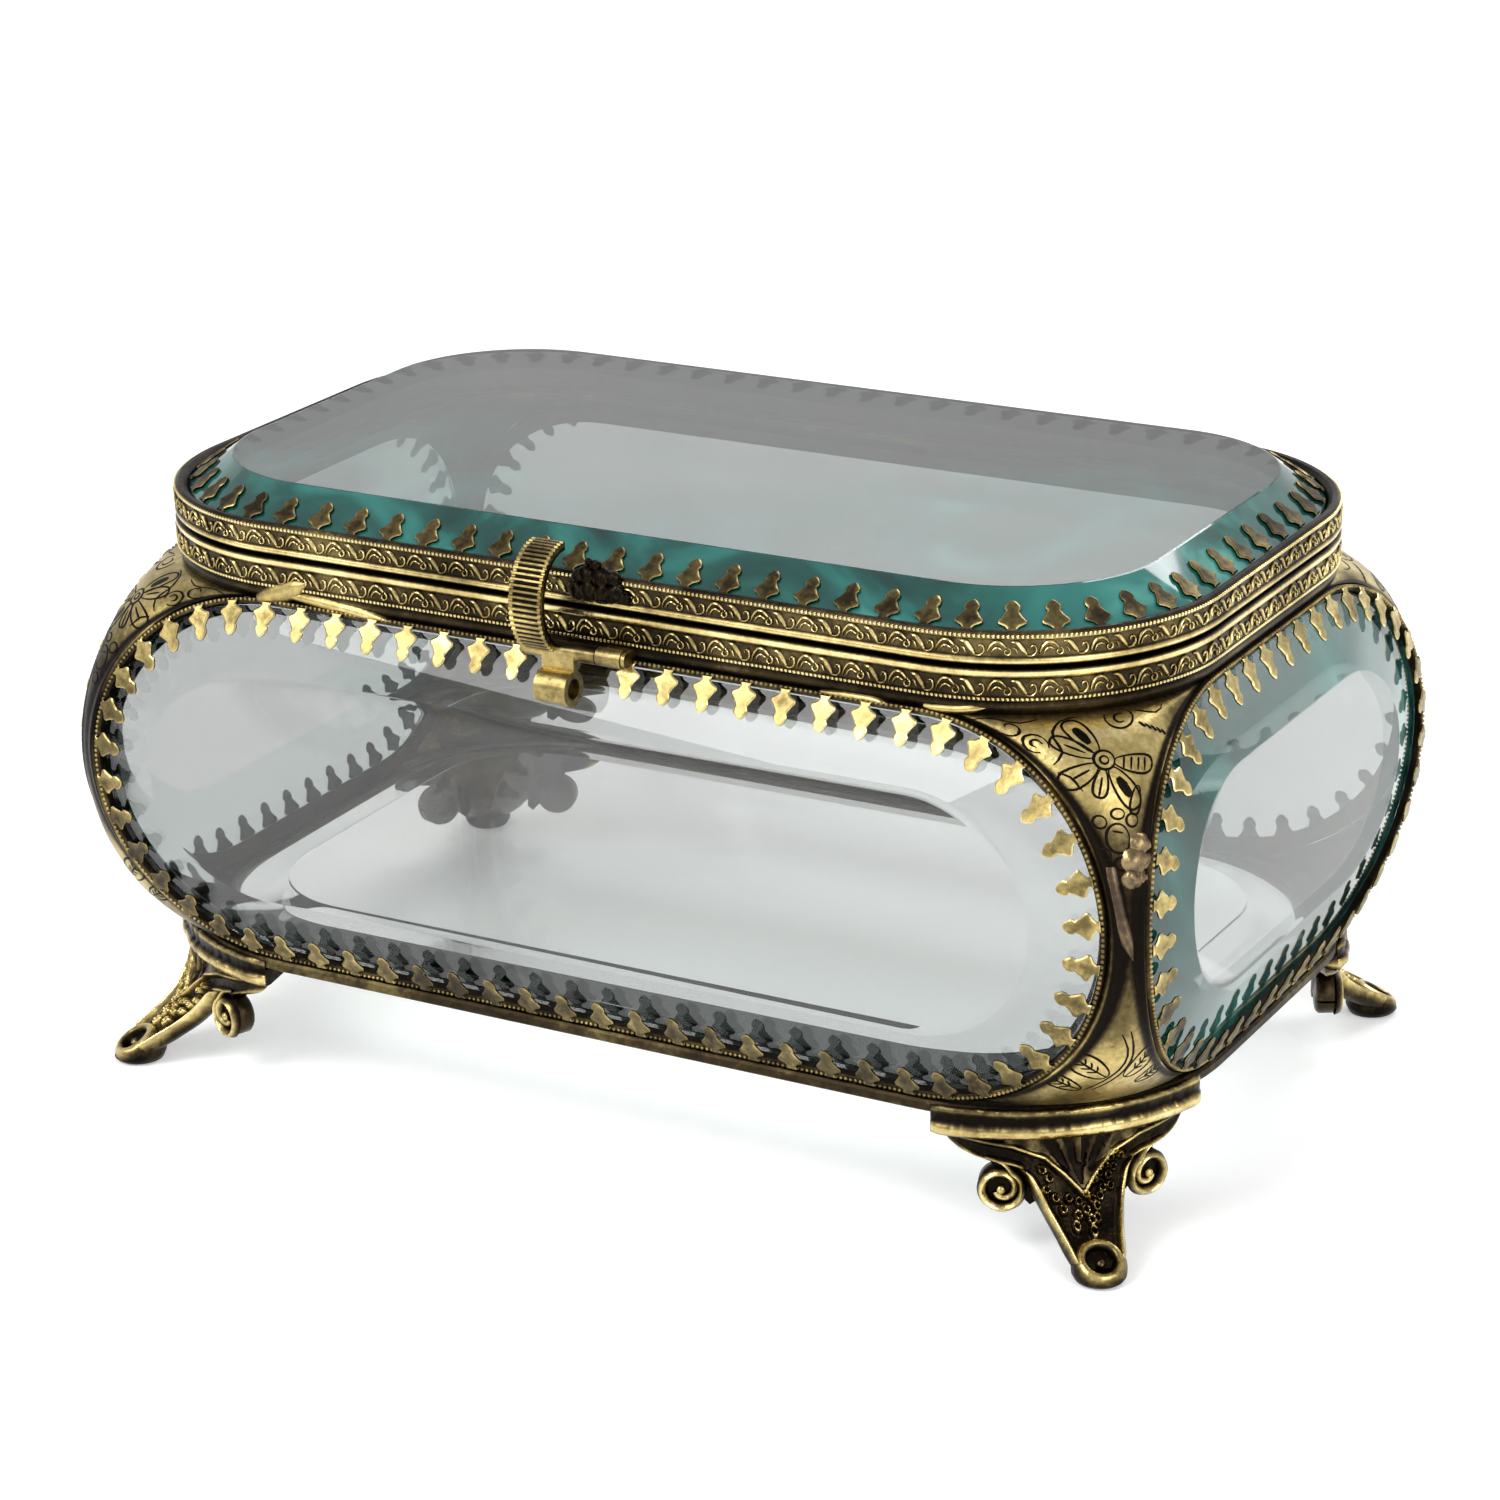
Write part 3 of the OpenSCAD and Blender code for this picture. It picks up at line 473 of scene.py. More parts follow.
def buildPane(face):
    _, oval, _ = faces[face]
    look = paneLook[face]
    q, mid = paneLook["quarterSteps"], paneLook["straightSteps"]
    a = np.linspace(0, math.pi / 2, q + 1)
    angle = np.concatenate([a, np.full(mid - 1, math.pi / 2), math.pi - a[::-1]])
    bend = np.full(q + 1, oval["corner"])
    straight = np.linspace(oval["corner"], -oval["corner"], mid + 1)[1:-1]
    corner = np.concatenate([bend, straight, -bend])[::-1]
    angle = angle[::-1]
    columns = len(angle) - 1
    bm = newDrawing()

    def ends(inset):
        u = corner + (oval["across"] - inset) * np.cos(angle)
        top = oval["centre"] + (oval["up"] - inset) * np.sin(angle)
        low = oval["centre"] - (oval["down"] - inset) * np.sin(angle)
        return u, top, low

    def cap(inset, n, tint):
        u, top, low = ends(inset)

        def place(s, t):
            k = np.rint(s * columns).astype(int)
            return facePoints(face, u[k], low[k] + (top[k] - low[k]) * t, n), 0, tint

        return mappedGrid(bm, columns, paneLook["rows"], place)

    def outline(inset, n):
        u, top, low = ends(inset)
        ringU = np.concatenate([u, u[-2:0:-1]])
        ringV = np.concatenate([low, top[-2:0:-1]])
        return facePoints(face, ringU, ringV, n)

    inner = paneLook["edge"] + look["bevel"]
    rise, thin, edge, arris = paneLook["rise"], paneLook["thin"], paneLook["edge"], paneLook["arris"]
    cap(inner, rise, 0.0)
    cap(edge, -thin, look["tint"] * 0.25)
    tint = look["tint"]
    loftRings(bm, [outline(inner, rise), outline(inner - arris, rise - arris * rise / look["bevel"]),
                   outline(edge + 0.15, 0.02), outline(edge, -0.15), outline(edge, -thin)],
              tint=[0.0, tint, tint, tint, tint])
    finishPiece(bm, face + "Pane", "casket", clearGlass, [face + "_glass"], sharp=25,
                smoke=look["smoke"])


for face in faces:
    buildPane(face)
print("curved panes ready")

# Channels that hold the panes, with a beaded edge, and their claws
bezelLook = {"wall": 0.8, "back": -3.1, "lip": 0.8, "backLip": 1.4, "quarterSteps": 40,
             "beadRadius": 0.25, "beadPitch": 0.66, "beadSides": 6, "beadRings": 4,
             "beadRelief": 0.6, "beadInset": 0.35}
clawLook = {
    "pitch": 5.25, "thick": 0.35, "inset": 0.4, "stand": 1.05,
    "outline": [(0.7, 0.0), (0.52, 0.4), (0.85, 0.8), (1.58, 1.2), (1.64, 1.6), (1.2, 2.1), (0.9, 2.6),
                (0.72, 2.95), (0.9, 3.3), (0.84, 3.75), (0.5, 4.2), (0.2, 4.46)],
    "edge": 0.2, "leanRise": 1.7, "leanRun": 9.0,
}
pathSteps = 60  # steps to a quarter of a path that beads or claws follow
clearance = {"curlMiddle": -0.4, "curlHalf": 4.0}  # where the clasp's curl hangs over the front claws


def addBeads(bm, places, radius, sides, rings, relief=0.9):
    bead = newDrawing()
    made = bmesh.ops.create_uvsphere(bead, u_segments=sides, v_segments=rings, radius=radius)["verts"]
    for vert in made:
        vert[bead.verts.layers.float["relief"]] = relief
    addCopies(bm, meshFrom(bead), len(places), lambda k, spots: spots + places[k])


def clawShape():  # one stamped claw, its root at the origin and its tip along +Y
    bm = newDrawing()
    high = bm.verts.layers.float["relief"]
    right = [Vector((x, y, 0)) for x, y in clawLook["outline"]]
    left = [Vector((-v.x, v.y, 0)) for v in reversed(right)]
    base = bm.faces.new([bm.verts.new(v) for v in right + left])
    out = bmesh.ops.extrude_face_region(bm, geom=[base])["geom"]
    top = [g for g in out if isinstance(g, bmesh.types.BMVert)]
    bmesh.ops.translate(bm, vec=(0, 0, clawLook["thick"] * 0.6), verts=top)
    lid = [g for g in out if isinstance(g, bmesh.types.BMFace)]
    for vert in bm.verts:
        vert[high] = 0.8 if vert in top else -1.4
    bmesh.ops.inset_region(bm, faces=lid, thickness=clawLook["edge"], depth=clawLook["thick"] * 0.4)
    for face in lid:
        for vert in face.verts:
            vert[high] = 0.25
    middle = bmesh.ops.poke(bm, faces=lid)["verts"]
    for vert in middle:
        vert.co.z -= 0.05
        vert[high] = 0.0
    bmesh.ops.recalc_face_normals(bm, faces=bm.faces)
    return meshFrom(bm)


clawMesh = clawShape()


def addClaws(bm, places):  # places are matrices
    turns = [np.array(place) for place in places]
    addCopies(bm, clawMesh, len(turns), lambda k, spots: spots @ turns[k][:3, :3].T + turns[k][:3, 3])


def buildWindowFrame(face):
    quarters, oval, _ = faces[face]
    look = bezelLook
    bm = newDrawing()
    wall, back, lip = look["wall"], look["back"], look["lip"]
    section = [  # inset from the window's edge, height over the panes' arc, relief
        (0.0, back, -0.5), (0.0, lip - 0.15, -0.3), (0.12, lip + 0.05, -0.1), (wall - 0.1, lip + 0.05, -0.2),
        (wall, lip - 0.15, -0.9), (wall, back + 0.5, -1.4), (wall + look["backLip"], back + 0.5, -1.4),
        (wall + look["backLip"], back, -0.3)]
    rings = []
    for inset, n, _ in section:
        path = ovalPath(oval, inset, look["quarterSteps"])
        rings.append(facePoints(face, path[:, 0], path[:, 1], n))
    loftRings(bm, rings, relief=[r for _, _, r in section], closed=True)
    beads = alongPath(ovalPath(oval, wall * look["beadInset"], pathSteps), look["beadPitch"])
    addBeads(bm, facePoints(face, beads[:, 0], beads[:, 1], lip + 0.1), look["beadRadius"],
             look["beadSides"], look["beadRings"], look["beadRelief"])
    finishPiece(bm, face + "Channel", "casket", metals["bezels"], [face + "_bezel"], sharp=50)

    bm = newDrawing()
    lean = math.atan2(clawLook["leanRise"], clawLook["leanRun"])
    places = []
    for u, v, way in alongPath(ovalPath(oval, clawLook["inset"], pathSteps), clawLook["pitch"]):
        underCurl = abs(u - clearance["curlMiddle"]) < clearance["curlHalf"]
        if face == "front" and v > arcLength / 2 and underCurl:
            continue
        root = facePoints(face, u, v, clawLook["stand"])
        turn = (Matrix.Rotation(quarters * math.pi / 2, 4, "Z")
                @ Matrix.Rotation(math.pi / 2 - float(tilt(v)), 4, "X")
                @ Matrix.Rotation(way + math.pi / 2, 4, "Z") @ Matrix.Rotation(lean, 4, "X"))
        places.append(Matrix.Translation(root) @ turn)
    addClaws(bm, places)
    finishPiece(bm, face + "Claws", "casket", metals["claws"], [face + "_claws"], recalc=False,
                sharp=35)


for face in faces:
    buildWindowFrame(face)
print("window channels and claws ready")

# Embossed strokes: a ribbon with a raised middle, bent onto a surface
def addStroke(bm, path, width, height, surface, steps=14, taper=(0.15, 0.15), reliefs=(-0.9, 0.9), sunk=0.05):
    # surface takes arrays x, y, n and gives points; width and taper are of the whole ribbon
    line = smoothRun(path, steps)
    way = np.gradient(line, axis=0)
    way /= np.maximum(np.hypot(way[:, 0], way[:, 1]), 1e-9)[:, None]
    side = np.stack([-way[:, 1], way[:, 0]], axis=-1)
    t = np.linspace(0, 1, steps)
    half = width / 2 * (np.interp(t, [0, 0.35, 0.75, 1], [taper[0], 1, 1, taper[1]]))
    offsets = [(-1, -sunk), (-0.5, height * 0.75), (0, height), (0.5, height * 0.75), (1, -sunk)]
    share = np.interp(t, [0, 0.15, 0.85, 1], [0.5, 1, 1, 0.5])
    rows = []
    for across, rise in offsets:
        p = line + side * (half * across)[:, None]
        rows.append(surface(p[:, 0], p[:, 1], np.where(rise > 0, rise * share, rise)))
    rows = np.array(rows)
    marks = [reliefs[0], reliefs[1] * 0.5, reliefs[1], reliefs[1] * 0.5, reliefs[0]]

    def place(s, u):
        i = np.rint(s * (steps - 1)).astype(int)
        j = np.rint(u * 4).astype(int)
        return rows[j, i], np.asarray(marks)[j], 0

    mappedGrid(bm, steps - 1, 4, place)


def arcPath(cx, cy, r0, r1, start, end, count=12, squash=1.0):
    a = np.radians(np.linspace(start, end, count))
    r = np.linspace(r0, r1, count)
    return np.stack([cx + r * np.cos(a), cy + squash * r * np.sin(a)], axis=-1)


# Rims: an embossed band between plain lips, with a row of beads
rimLook = {
    "steps": 500, "motif": 6.05, "beadPitch": 0.56, "beadRadius": 0.23,
    "lidSection": [  # offset from the outline, height over the rim's foot, relief
        (-4.2, 0.0, -1.2), (-0.5, 0.0, -1.3), (0.0, 0.1, -0.6), (0.15, 0.35, 1.0), (0.12, 0.7, 0.7),
        (-0.12, 0.95, -0.7), (-0.12, 1.2, -0.3),
        (-0.12, 3.0, -0.3), (0.02, 3.15, 0.1), (-0.12, 3.6, -0.6), (-0.5, 3.9, -0.6), (-1.1, 3.85, -0.9),
        (-1.6, 3.3, -1.2), (-1.6, 0.8, -1.2), (-4.2, 0.8, -0.8)],
    "bodySection": [
        (-4.2, 0.0, -0.6), (-1.25, 0.0, -1.2), (-1.2, -0.45, -1.2), (-0.6, -0.45, -1.2), (-0.5, 0.1, -1.0),
        (-0.24, 0.5, -0.5), (-0.2, 0.9, -0.35), (-0.34, 1.3, -0.9), (-0.1, 1.55, -0.1), (-0.1, 2.05, -0.8),
        (-0.12, 2.3, -0.3), (-0.12, 4.1, -0.3), (-0.12, 4.3, -0.6), (0.0, 4.45, 0.5), (0.15, 4.7, 1.1),
        (0.13, 5.1, 1.1), (-0.1, 5.32, -0.9), (-0.7, 5.6, -1.4), (-1.6, 5.6, -1.4), (-1.6, 0.8, -0.9),
        (-4.2, 0.8, -0.5)],
    "beadSides": 6, "beadRings": 4, "beadRelief": 1.2, "bandOff": -0.12, "beadOff": -0.08,
}


def flat(x, y, n):
    return np.stack(np.broadcast_arrays(x, y, n), axis=-1)


def scrollMotif(width, tall):  # one repeat of the band, drawn flat: x along, y up, z outwards
    bm = newDrawing()

    def line(path, wide, height, steps, taper):
        addStroke(bm, np.asarray(path) * [width, tall], wide, height, flat, steps, taper, (-1.3, 1.2))

    line([(0.01, 0.1), (0.05, 0.5), (0.15, 0.86), (0.28, 0.86), (0.38, 0.55)], 0.5, 0.34, 12, (0.15, 0.7))
    line([(0.09, 0.1), (0.13, 0.42), (0.22, 0.56), (0.31, 0.4)], 0.42, 0.28, 8, (0.1, 0.5))
    curl = arcPath(width * 0.4, tall * 0.3, tall * 0.24, tall * 0.12, 80, -260, 12)
    addStroke(bm, curl, 0.34, 0.3, flat, 14, (0.8, 0.5), (-1.3, 1.2))
    line([(0.49, 0.9), (0.6, 0.84), (0.69, 0.5), (0.78, 0.16)], 0.78, 0.34, 10, (0.3, 0.3))
    line([(0.72, 0.34), (0.78, 0.1), (0.89, 0.1), (0.96, 0.36), (0.93, 0.68), (0.86, 0.66), (0.85, 0.5)],
         0.36, 0.3, 16, (0.4, 0.6))
    line([(0.5, 0.52), (0.56, 0.5), (0.61, 0.16)], 0.32, 0.22, 6, (0.2, 0.2))
    return meshFrom(bm)


def buildRim(name, base, section, bandLow, bandHigh, beadUp, body, node):
    bandOff = rimLook["bandOff"]
    bm = newDrawing()
    s = (np.arange(rimLook["steps"]) + 0.5) * rimRun() / rimLook["steps"]
    rings = [rimPoints(s, off, base + up) for off, up, _ in section]
    loftRings(bm, rings, relief=[r for _, _, r in section], closed=True)
    count = round(rimRun() / rimLook["motif"])
    width = rimRun() / count
    addCopies(bm, scrollMotif(width, bandHigh - bandLow), count, lambda k, spots: rimPoints(
        k * width + spots[:, 0], bandOff + spots[:, 2], base + bandLow + spots[:, 1]))
    beads = round(rimRun() / rimLook["beadPitch"])
    at = np.arange(beads) * rimRun() / beads
    addBeads(bm, rimPoints(at, np.full(beads, rimLook["beadOff"]), base + beadUp), rimLook["beadRadius"],
             rimLook["beadSides"], rimLook["beadRings"], rimLook["beadRelief"])
    finishPiece(bm, name, body, metals["rims"], [node], sharp=40)


buildRim("lidRim", lidBottom, rimLook["lidSection"], 1.02, 3.0, 3.42, "lid", "lid_rim")
buildRim("bodyRim", casket["bodyRimBottom"], rimLook["bodySection"], 2.1, 4.25, 1.78, "casket", "body_rim")
print("rims ready")

# Flat panes of the lid and the bottom
# The lid and bottom panes' grey is part old glass and part painted shade that darkens what is seen through
# them
flatPaneLook = {
    "lid": {"inset": 2.0, "bevel": 5.8, "z": lidBottom + 0.8, "thick": 6.2,
            "near": 1.0, "far": 0.1, "smoke": 0.52},
    "bottom": {"inset": 4.7, "bevel": 8.0, "z": casket["footHeight"] + 0.8, "thick": 3.9,
               "near": 0.02, "far": 0.02, "smoke": 0.38},
    "thin": 2.2, "arris": 0.25, "quarterSteps": 28, "clawInset": 2.1, "clawStand": 0.2,
}


def ringAngles():
    steps = flatPaneLook["quarterSteps"]
    return (np.arange(4 * steps) + 0.5) * math.pi / 2 / steps


def roundedRing(inset, z):
    a = ringAngles()
    r = casket["cornerRadius"] - inset
    x = np.sign(np.cos(a)) * cornerX + r * np.cos(a)
    y = np.sign(np.sin(a)) * cornerY + r * np.sin(a)
    return np.stack([x, y, np.full_like(x, z)], axis=-1)


def buildFlatPane(name, key, body, node):
    look = flatPaneLook[key]
    z, inset = look["z"], look["inset"]
    thick, thin, arris = look["thick"], flatPaneLook["thin"], flatPaneLook["arris"]
    a = ringAngles()
    # facing is 1 at the front right and 0 at the back left: painted edge light, so the bevel's teal is
    # strongest at the front and right
    facing = 0.5 + 0.5 * np.tanh(4 * (np.cos(a) * 0.6 - np.sin(a) * 0.8))
    tint = look["far"] + (look["near"] - look["far"]) * facing
    bm = newDrawing()
    rings = [roundedRing(inset + 0.1, z), roundedRing(inset, z + 0.1), roundedRing(inset, z + thin - 0.1),
             roundedRing(inset + 0.12, z + thin), roundedRing(inset + look["bevel"] - arris, z + thick - 0.1),
             roundedRing(inset + look["bevel"], z + thick)]
    loftRings(bm, rings, tint=[tint * 0.3, tint, tint, tint, tint, 0.0], capStart=True, capEnd=True)
    finishPiece(bm, name, body, clearGlass, [node], sharp=5, smoke=look["smoke"])


buildFlatPane("lidPane", "lid", "lid", "lid_glass")
buildFlatPane("bottomPane", "bottom", "casket", "bottom_glass")

bm = newDrawing()
lidPath = ovalPath({"corner": cornerX, "across": casket["cornerRadius"], "centre": cornerY,
                    "up": casket["cornerRadius"], "down": casket["cornerRadius"]},
                   flatPaneLook["clawInset"], pathSteps)
lidPath[2 * (pathSteps + 1):, 1] -= 2 * cornerY  # the front half moves down to the front corners
lidLean = math.atan2(flatPaneLook["lid"]["thick"] - flatPaneLook["thin"], flatPaneLook["lid"]["bevel"])
clawHeight = flatPaneLook["lid"]["z"] + flatPaneLook["thin"] + flatPaneLook["clawStand"]
addClaws(bm, [
    Matrix.Translation((x, y, clawHeight)) @ Matrix.Rotation(way + math.pi / 2, 4, "Z")
    @ Matrix.Rotation(lidLean, 4, "X") for x, y, way in alongPath(lidPath, clawLook["pitch"])])
finishPiece(bm, "lidClaws", "lid", metals["lidClaws"], ["lid_claws"], recalc=False, sharp=35)
print("lid ready")

# Corner pillars: engraved sheet with rolled edges
pillarLook = {"thick": 0.9, "stand": 0.2, "gap": 0.1, "levels": 96, "across": 40, "roll": 1.3,
              "rollRise": 0.42, "sheetRows": 200, "sheetColumns": 40, "engravingLift": 0.03}
corners = {"front_right": (1, 1), "front_left": (-1, 1), "back_right": (1, -1), "back_left": (-1, -1)}


def pillarSurface(u, v, n):  # u from the front edge to the side edge in shares, v up in shares
    a = (v - 0.5) * math.pi

    def half(oval):
        rise = np.where(a > 0, oval["up"], oval["down"])
        edge = oval["corner"] + oval["across"] * np.cos(a) + pillarLook["gap"]
        return edge, oval["centre"] + rise * np.sin(a)

    fx, height = half(frontOval)
    sy, _ = half(sideOval)
    out, z = arcPoint(height, n)
    t = u * math.pi / 2
    x = fx + (halfLength + out - fx) * np.cos(t)
    y = -(sy + (halfWidth + out - sy) * np.sin(t))
    return np.stack([x, y, z], axis=-1)


def pillarSheet():  # shares up the sheet, with the length up to each and the widths along each
    rows, columns = pillarLook["sheetRows"], pillarLook["sheetColumns"] + 1
    v = np.linspace(0, 1, rows)
    tall = pillarSurface(np.full(rows, 0.5), v, 0)
    rise = np.concatenate([[0], np.cumsum(np.linalg.norm(np.diff(tall, axis=0), axis=1))])
    across, upward = np.meshgrid(np.linspace(0, 1, columns), v)
    grid = pillarSurface(across.ravel(), upward.ravel(), 0).reshape(rows, columns, 3)
    steps = np.cumsum(np.linalg.norm(np.diff(grid, axis=1), axis=2), axis=1)
    return v, rise, np.concatenate([np.zeros((rows, 1)), steps], axis=1)


sheetV, sheetRise, sheetWide = pillarSheet()


def nearestRow(v):
    last = pillarLook["sheetRows"] - 1
    return np.clip(np.rint(v * last).astype(int), 0, last)


def onPillar(x, y, n):  # x to the front side from the middle line, y up, both in millimetres on the sheet
    x, y = np.broadcast_arrays(np.asarray(x, float), np.asarray(y, float))
    v = np.interp(y, sheetRise, sheetV)
    rows = sheetWide[nearestRow(v)]
    middle = rows[:, pillarLook["sheetColumns"] // 2]
    shares = np.linspace(0, 1, pillarLook["sheetColumns"] + 1)
    u = np.array([np.interp(m - aside, row, shares) for m, aside, row in zip(middle, x, rows)])
    return pillarSurface(1 - u, v, pillarLook["stand"] + n)


def petal(cx, cy, angle, length, width, count=15):
    t = np.linspace(0, math.pi, count)
    along = length * (1 - np.cos(t)) / 2
    wide = width / 2 * np.sin(t) ** 0.75 * (0.65 + 0.5 * along / length)
    a = math.radians(angle)
    c, s = math.cos(a), math.sin(a)
    right = np.stack([cx + along * c - wide * s, cy + along * s + wide * c], -1)
    left = np.stack([cx + along * c + wide * s, cy + along * s - wide * c], -1)
    return np.concatenate([right, left[::-1][1:]])


def engraving():  # dark lines laid on the sheet about its middle line, each with its width
    top = sheetRise[-1]
    lines = []

    def fine(path, wide=0.32):
        lines.append((np.asarray(path, float), wide))

    cx, cy = -0.5, top - 7.9
    petals = [(117, 5.4, 2.7), (151, 5.0, 2.3), (211, 5.0, 2.6), (252, 3.6, 1.7), (295, 5.6, 2.7),
              (345, 5.2, 2.5)]
    for angle, length, wide in petals:
        c, s = math.cos(math.radians(angle)), math.sin(math.radians(angle))
        fine(petal(cx + 1.15 * c, cy + 1.15 * s, angle, length, wide))
        if angle in (117, 295):
            fine([(cx + r * c, cy + r * s) for r in (2.5, 4.2, 5.2)], 1.15)
        elif angle == 345:
            for k in range(4):
                a = 2.3 + k * 0.95
                fine([(cx + a * c + 0.8 * s, cy + a * s - 0.8 * c),
                      (cx + a * c - 0.8 * s, cy + a * s + 0.8 * c)], 0.28)
        else:
            fine([(cx + 2.2 * c, cy + 2.2 * s), (cx + 4.6 * c, cy + 4.6 * s)], 0.3)
    fine(arcPath(cx, cy, 1.2, 1.2, 0, 360, 14), 0.36)
    fine(arcPath(cx, cy, 0.5, 0.5, 0, 360, 8), 0.3)
    fine(arcPath(cx + 3.4, cy + 5.6, 1.8, 1.7, 150, 395, 14))
    fine(arcPath(cx + 3.5, cy + 5.4, 0.9, 0.6, 60, 300, 10))
    for k in range(5):
        fine([(cx + 5.6 + k * 0.75, cy + 4.3 - k * 0.5), (cx + 6.3 + k * 0.75, cy + 3.3 - k * 0.5)], 0.3)
    fine([(cx + 5.6, cy + 6.4), (cx + 8.6, cy + 5.0), (cx + 9.8, cy + 6.2)])
    fine([(cx - 1.6, cy + 6.6), (cx - 3.6, cy + 5.9), (cx - 5.0, cy + 3.6), (cx - 4.4, cy + 1.2),
          (cx - 5.6, cy - 0.6)])
    fine(arcPath(cx - 7.2, cy + 2.2, 1.5, 1.3, -20, 290, 14))
    fine(arcPath(cx - 7.1, cy + 2.2, 0.7, 0.5, 0, 270, 8))
    fine(arcPath(cx - 9.6, cy + 4.6, 1.7, 0.5, 200, 520, 14))
    fine([(cx - 6.0, cy + 6.4), (cx - 8.4, cy + 5.6), (cx - 11.4, cy + 6.4), (cx - 13.6, cy + 5.6)])
    fine([(cx - 3.0, cy - 3.8), (cx - 4.0, cy - 2.2), (cx - 5.4, cy - 1.6)])
    fine(petal(cx + 3.4, cy - 3.6, 250, 3.4, 1.5, 9))
    loops = [(0.0, -9.3, 1.25, 1.7), (-1.7, -7.4, 0.7, 0.75), (1.9, -7.4, 0.75, 0.75),
             (-1.5, -11.2, 0.6, 0.7), (1.6, -11.3, 0.65, 0.7), (0.1, -12.2, 0.7, 0.75), (0.3, -6.5, 0.75, 0.6)]
    for ox, oy, rx, ry in loops:
        fine(arcPath(cx + ox, cy + oy, rx, rx, 0, 360, 12, ry / rx), 0.3)
    fine([(cx - 0.6, cy - 8.4), (cx + 0.6, cy - 8.7)], 0.25)
    low = 8.6  # where the sheet turns up, with the leaves above the foot
    fine([(-3.0, low + 0.2), (-0.9, low + 2.4), (0.7, low + 5.0), (0.9, low + 7.6), (-0.2, low + 10.4)], 0.3)
    fine([(-2.0, low + 0.2), (0.2, low + 2.6), (1.5, low + 5.2), (1.6, low + 7.8), (0.8, low + 10.8)], 0.3)
    leaves = [(-0.9, 3.0, 138, 5.2, 3.4), (1.4, 2.6, 52, 5.6, 3.2), (-3.4, 0.4, 150, 4.6, 2.4),
              (3.2, 0.8, 24, 4.6, 2.4)]
    for fromX, up, angle, length, wide in leaves:
        fromY = low + up
        c, s = math.cos(math.radians(angle)), math.sin(math.radians(angle))
        fine(petal(fromX, fromY, angle, length, wide))
        fine([(fromX, fromY), (fromX + length * 0.9 * c, fromY + length * 0.9 * s)], 0.26)
        for k in range(3):
            a = length * (0.3 + 0.18 * k)
            for side in (-1, 1):
                b = math.radians(angle + side * 42)
                fine([(fromX + a * c, fromY + a * s),
                      (fromX + a * c + 1.15 * math.cos(b), fromY + a * s + 1.15 * math.sin(b))], 0.24)
    return lines


def drawEngraving():
    bm = newDrawing()
    for line, wide in engraving():
        steps = max(6, len(line) * 2)
        addStroke(bm, line, wide, 0.03, flat, steps, (0.5, 0.5), (-1.8, -2.2), 0.0)
    return meshFrom(bm)


engravedLines = drawEngraving()


def buildPillar(key):
    turn, flip = corners[key]
    bm = newDrawing()
    n, m = pillarLook["levels"], pillarLook["across"]
    roll = pillarLook["roll"]

    def skin(outer):
        def place(s, t):
            width = sheetWide[nearestRow(t), -1]
            near = np.minimum(s, 1 - s) * width
            lift = pillarLook["rollRise"] * np.exp(-((near - roll * 0.42) / (roll * 0.36)) ** 2)
            high = pillarLook["stand"] + lift if outer else pillarLook["stand"] - pillarLook["thick"]
            if not outer:
                return pillarSurface(s, t, high), -0.6, 0
            y = np.interp(t, sheetV, sheetRise)
            down = sheetRise[-1] - y
            field = 0.75 * np.exp(-(np.maximum(down - 8.5, 0) / 6.5) ** 2)
            field = field + 0.6 * np.exp(-((y - 12.5) / 5.0) ** 2)
            waist = -1.1 * np.exp(-((down - 25.0) / 8.5) ** 2)
            # Painted shade in the crease inside the rolled edge, and a painted highlight along its very edge
            edgeShadeAndHighlight = -2.0 * np.exp(-((near - roll * 0.85) / (roll * 0.5)) ** 2)
            edgeShadeAndHighlight = edgeShadeAndHighlight + 0.8 * np.exp(-((near - roll * 0.3) / 0.2) ** 2)
            far = -0.7 * np.clip((np.abs(s - 0.5) * width - 7.5) / 3.5, 0, 1)
            return pillarSurface(s, t, high), field + waist + edgeShadeAndHighlight + far, 0
        return mappedGrid(bm, m, n, place)

    skin(True)
    skin(False)
    bmesh.ops.remove_doubles(bm, verts=bm.verts, dist=1e-4)
    open_ = [e for e in bm.edges if e.is_boundary]
    bmesh.ops.bridge_loops(bm, edges=open_)
    lift = pillarLook["engravingLift"]
    addCopies(bm, engravedLines, 1, lambda k, spots: onPillar(-spots[:, 0], spots[:, 1], spots[:, 2] + lift))
    if turn < 0:
        bmesh.ops.scale(bm, vec=(-1, 1, 1), verts=bm.verts)
    if flip < 0:
        bmesh.ops.scale(bm, vec=(1, -1, 1), verts=bm.verts)
    finishPiece(bm, key.replace("_", "") + "Pillar", "casket", metals["pillars"],
                [key + "_pillar"], sharp=45)


for key in corners:
    buildPillar(key)
print("pillars ready")

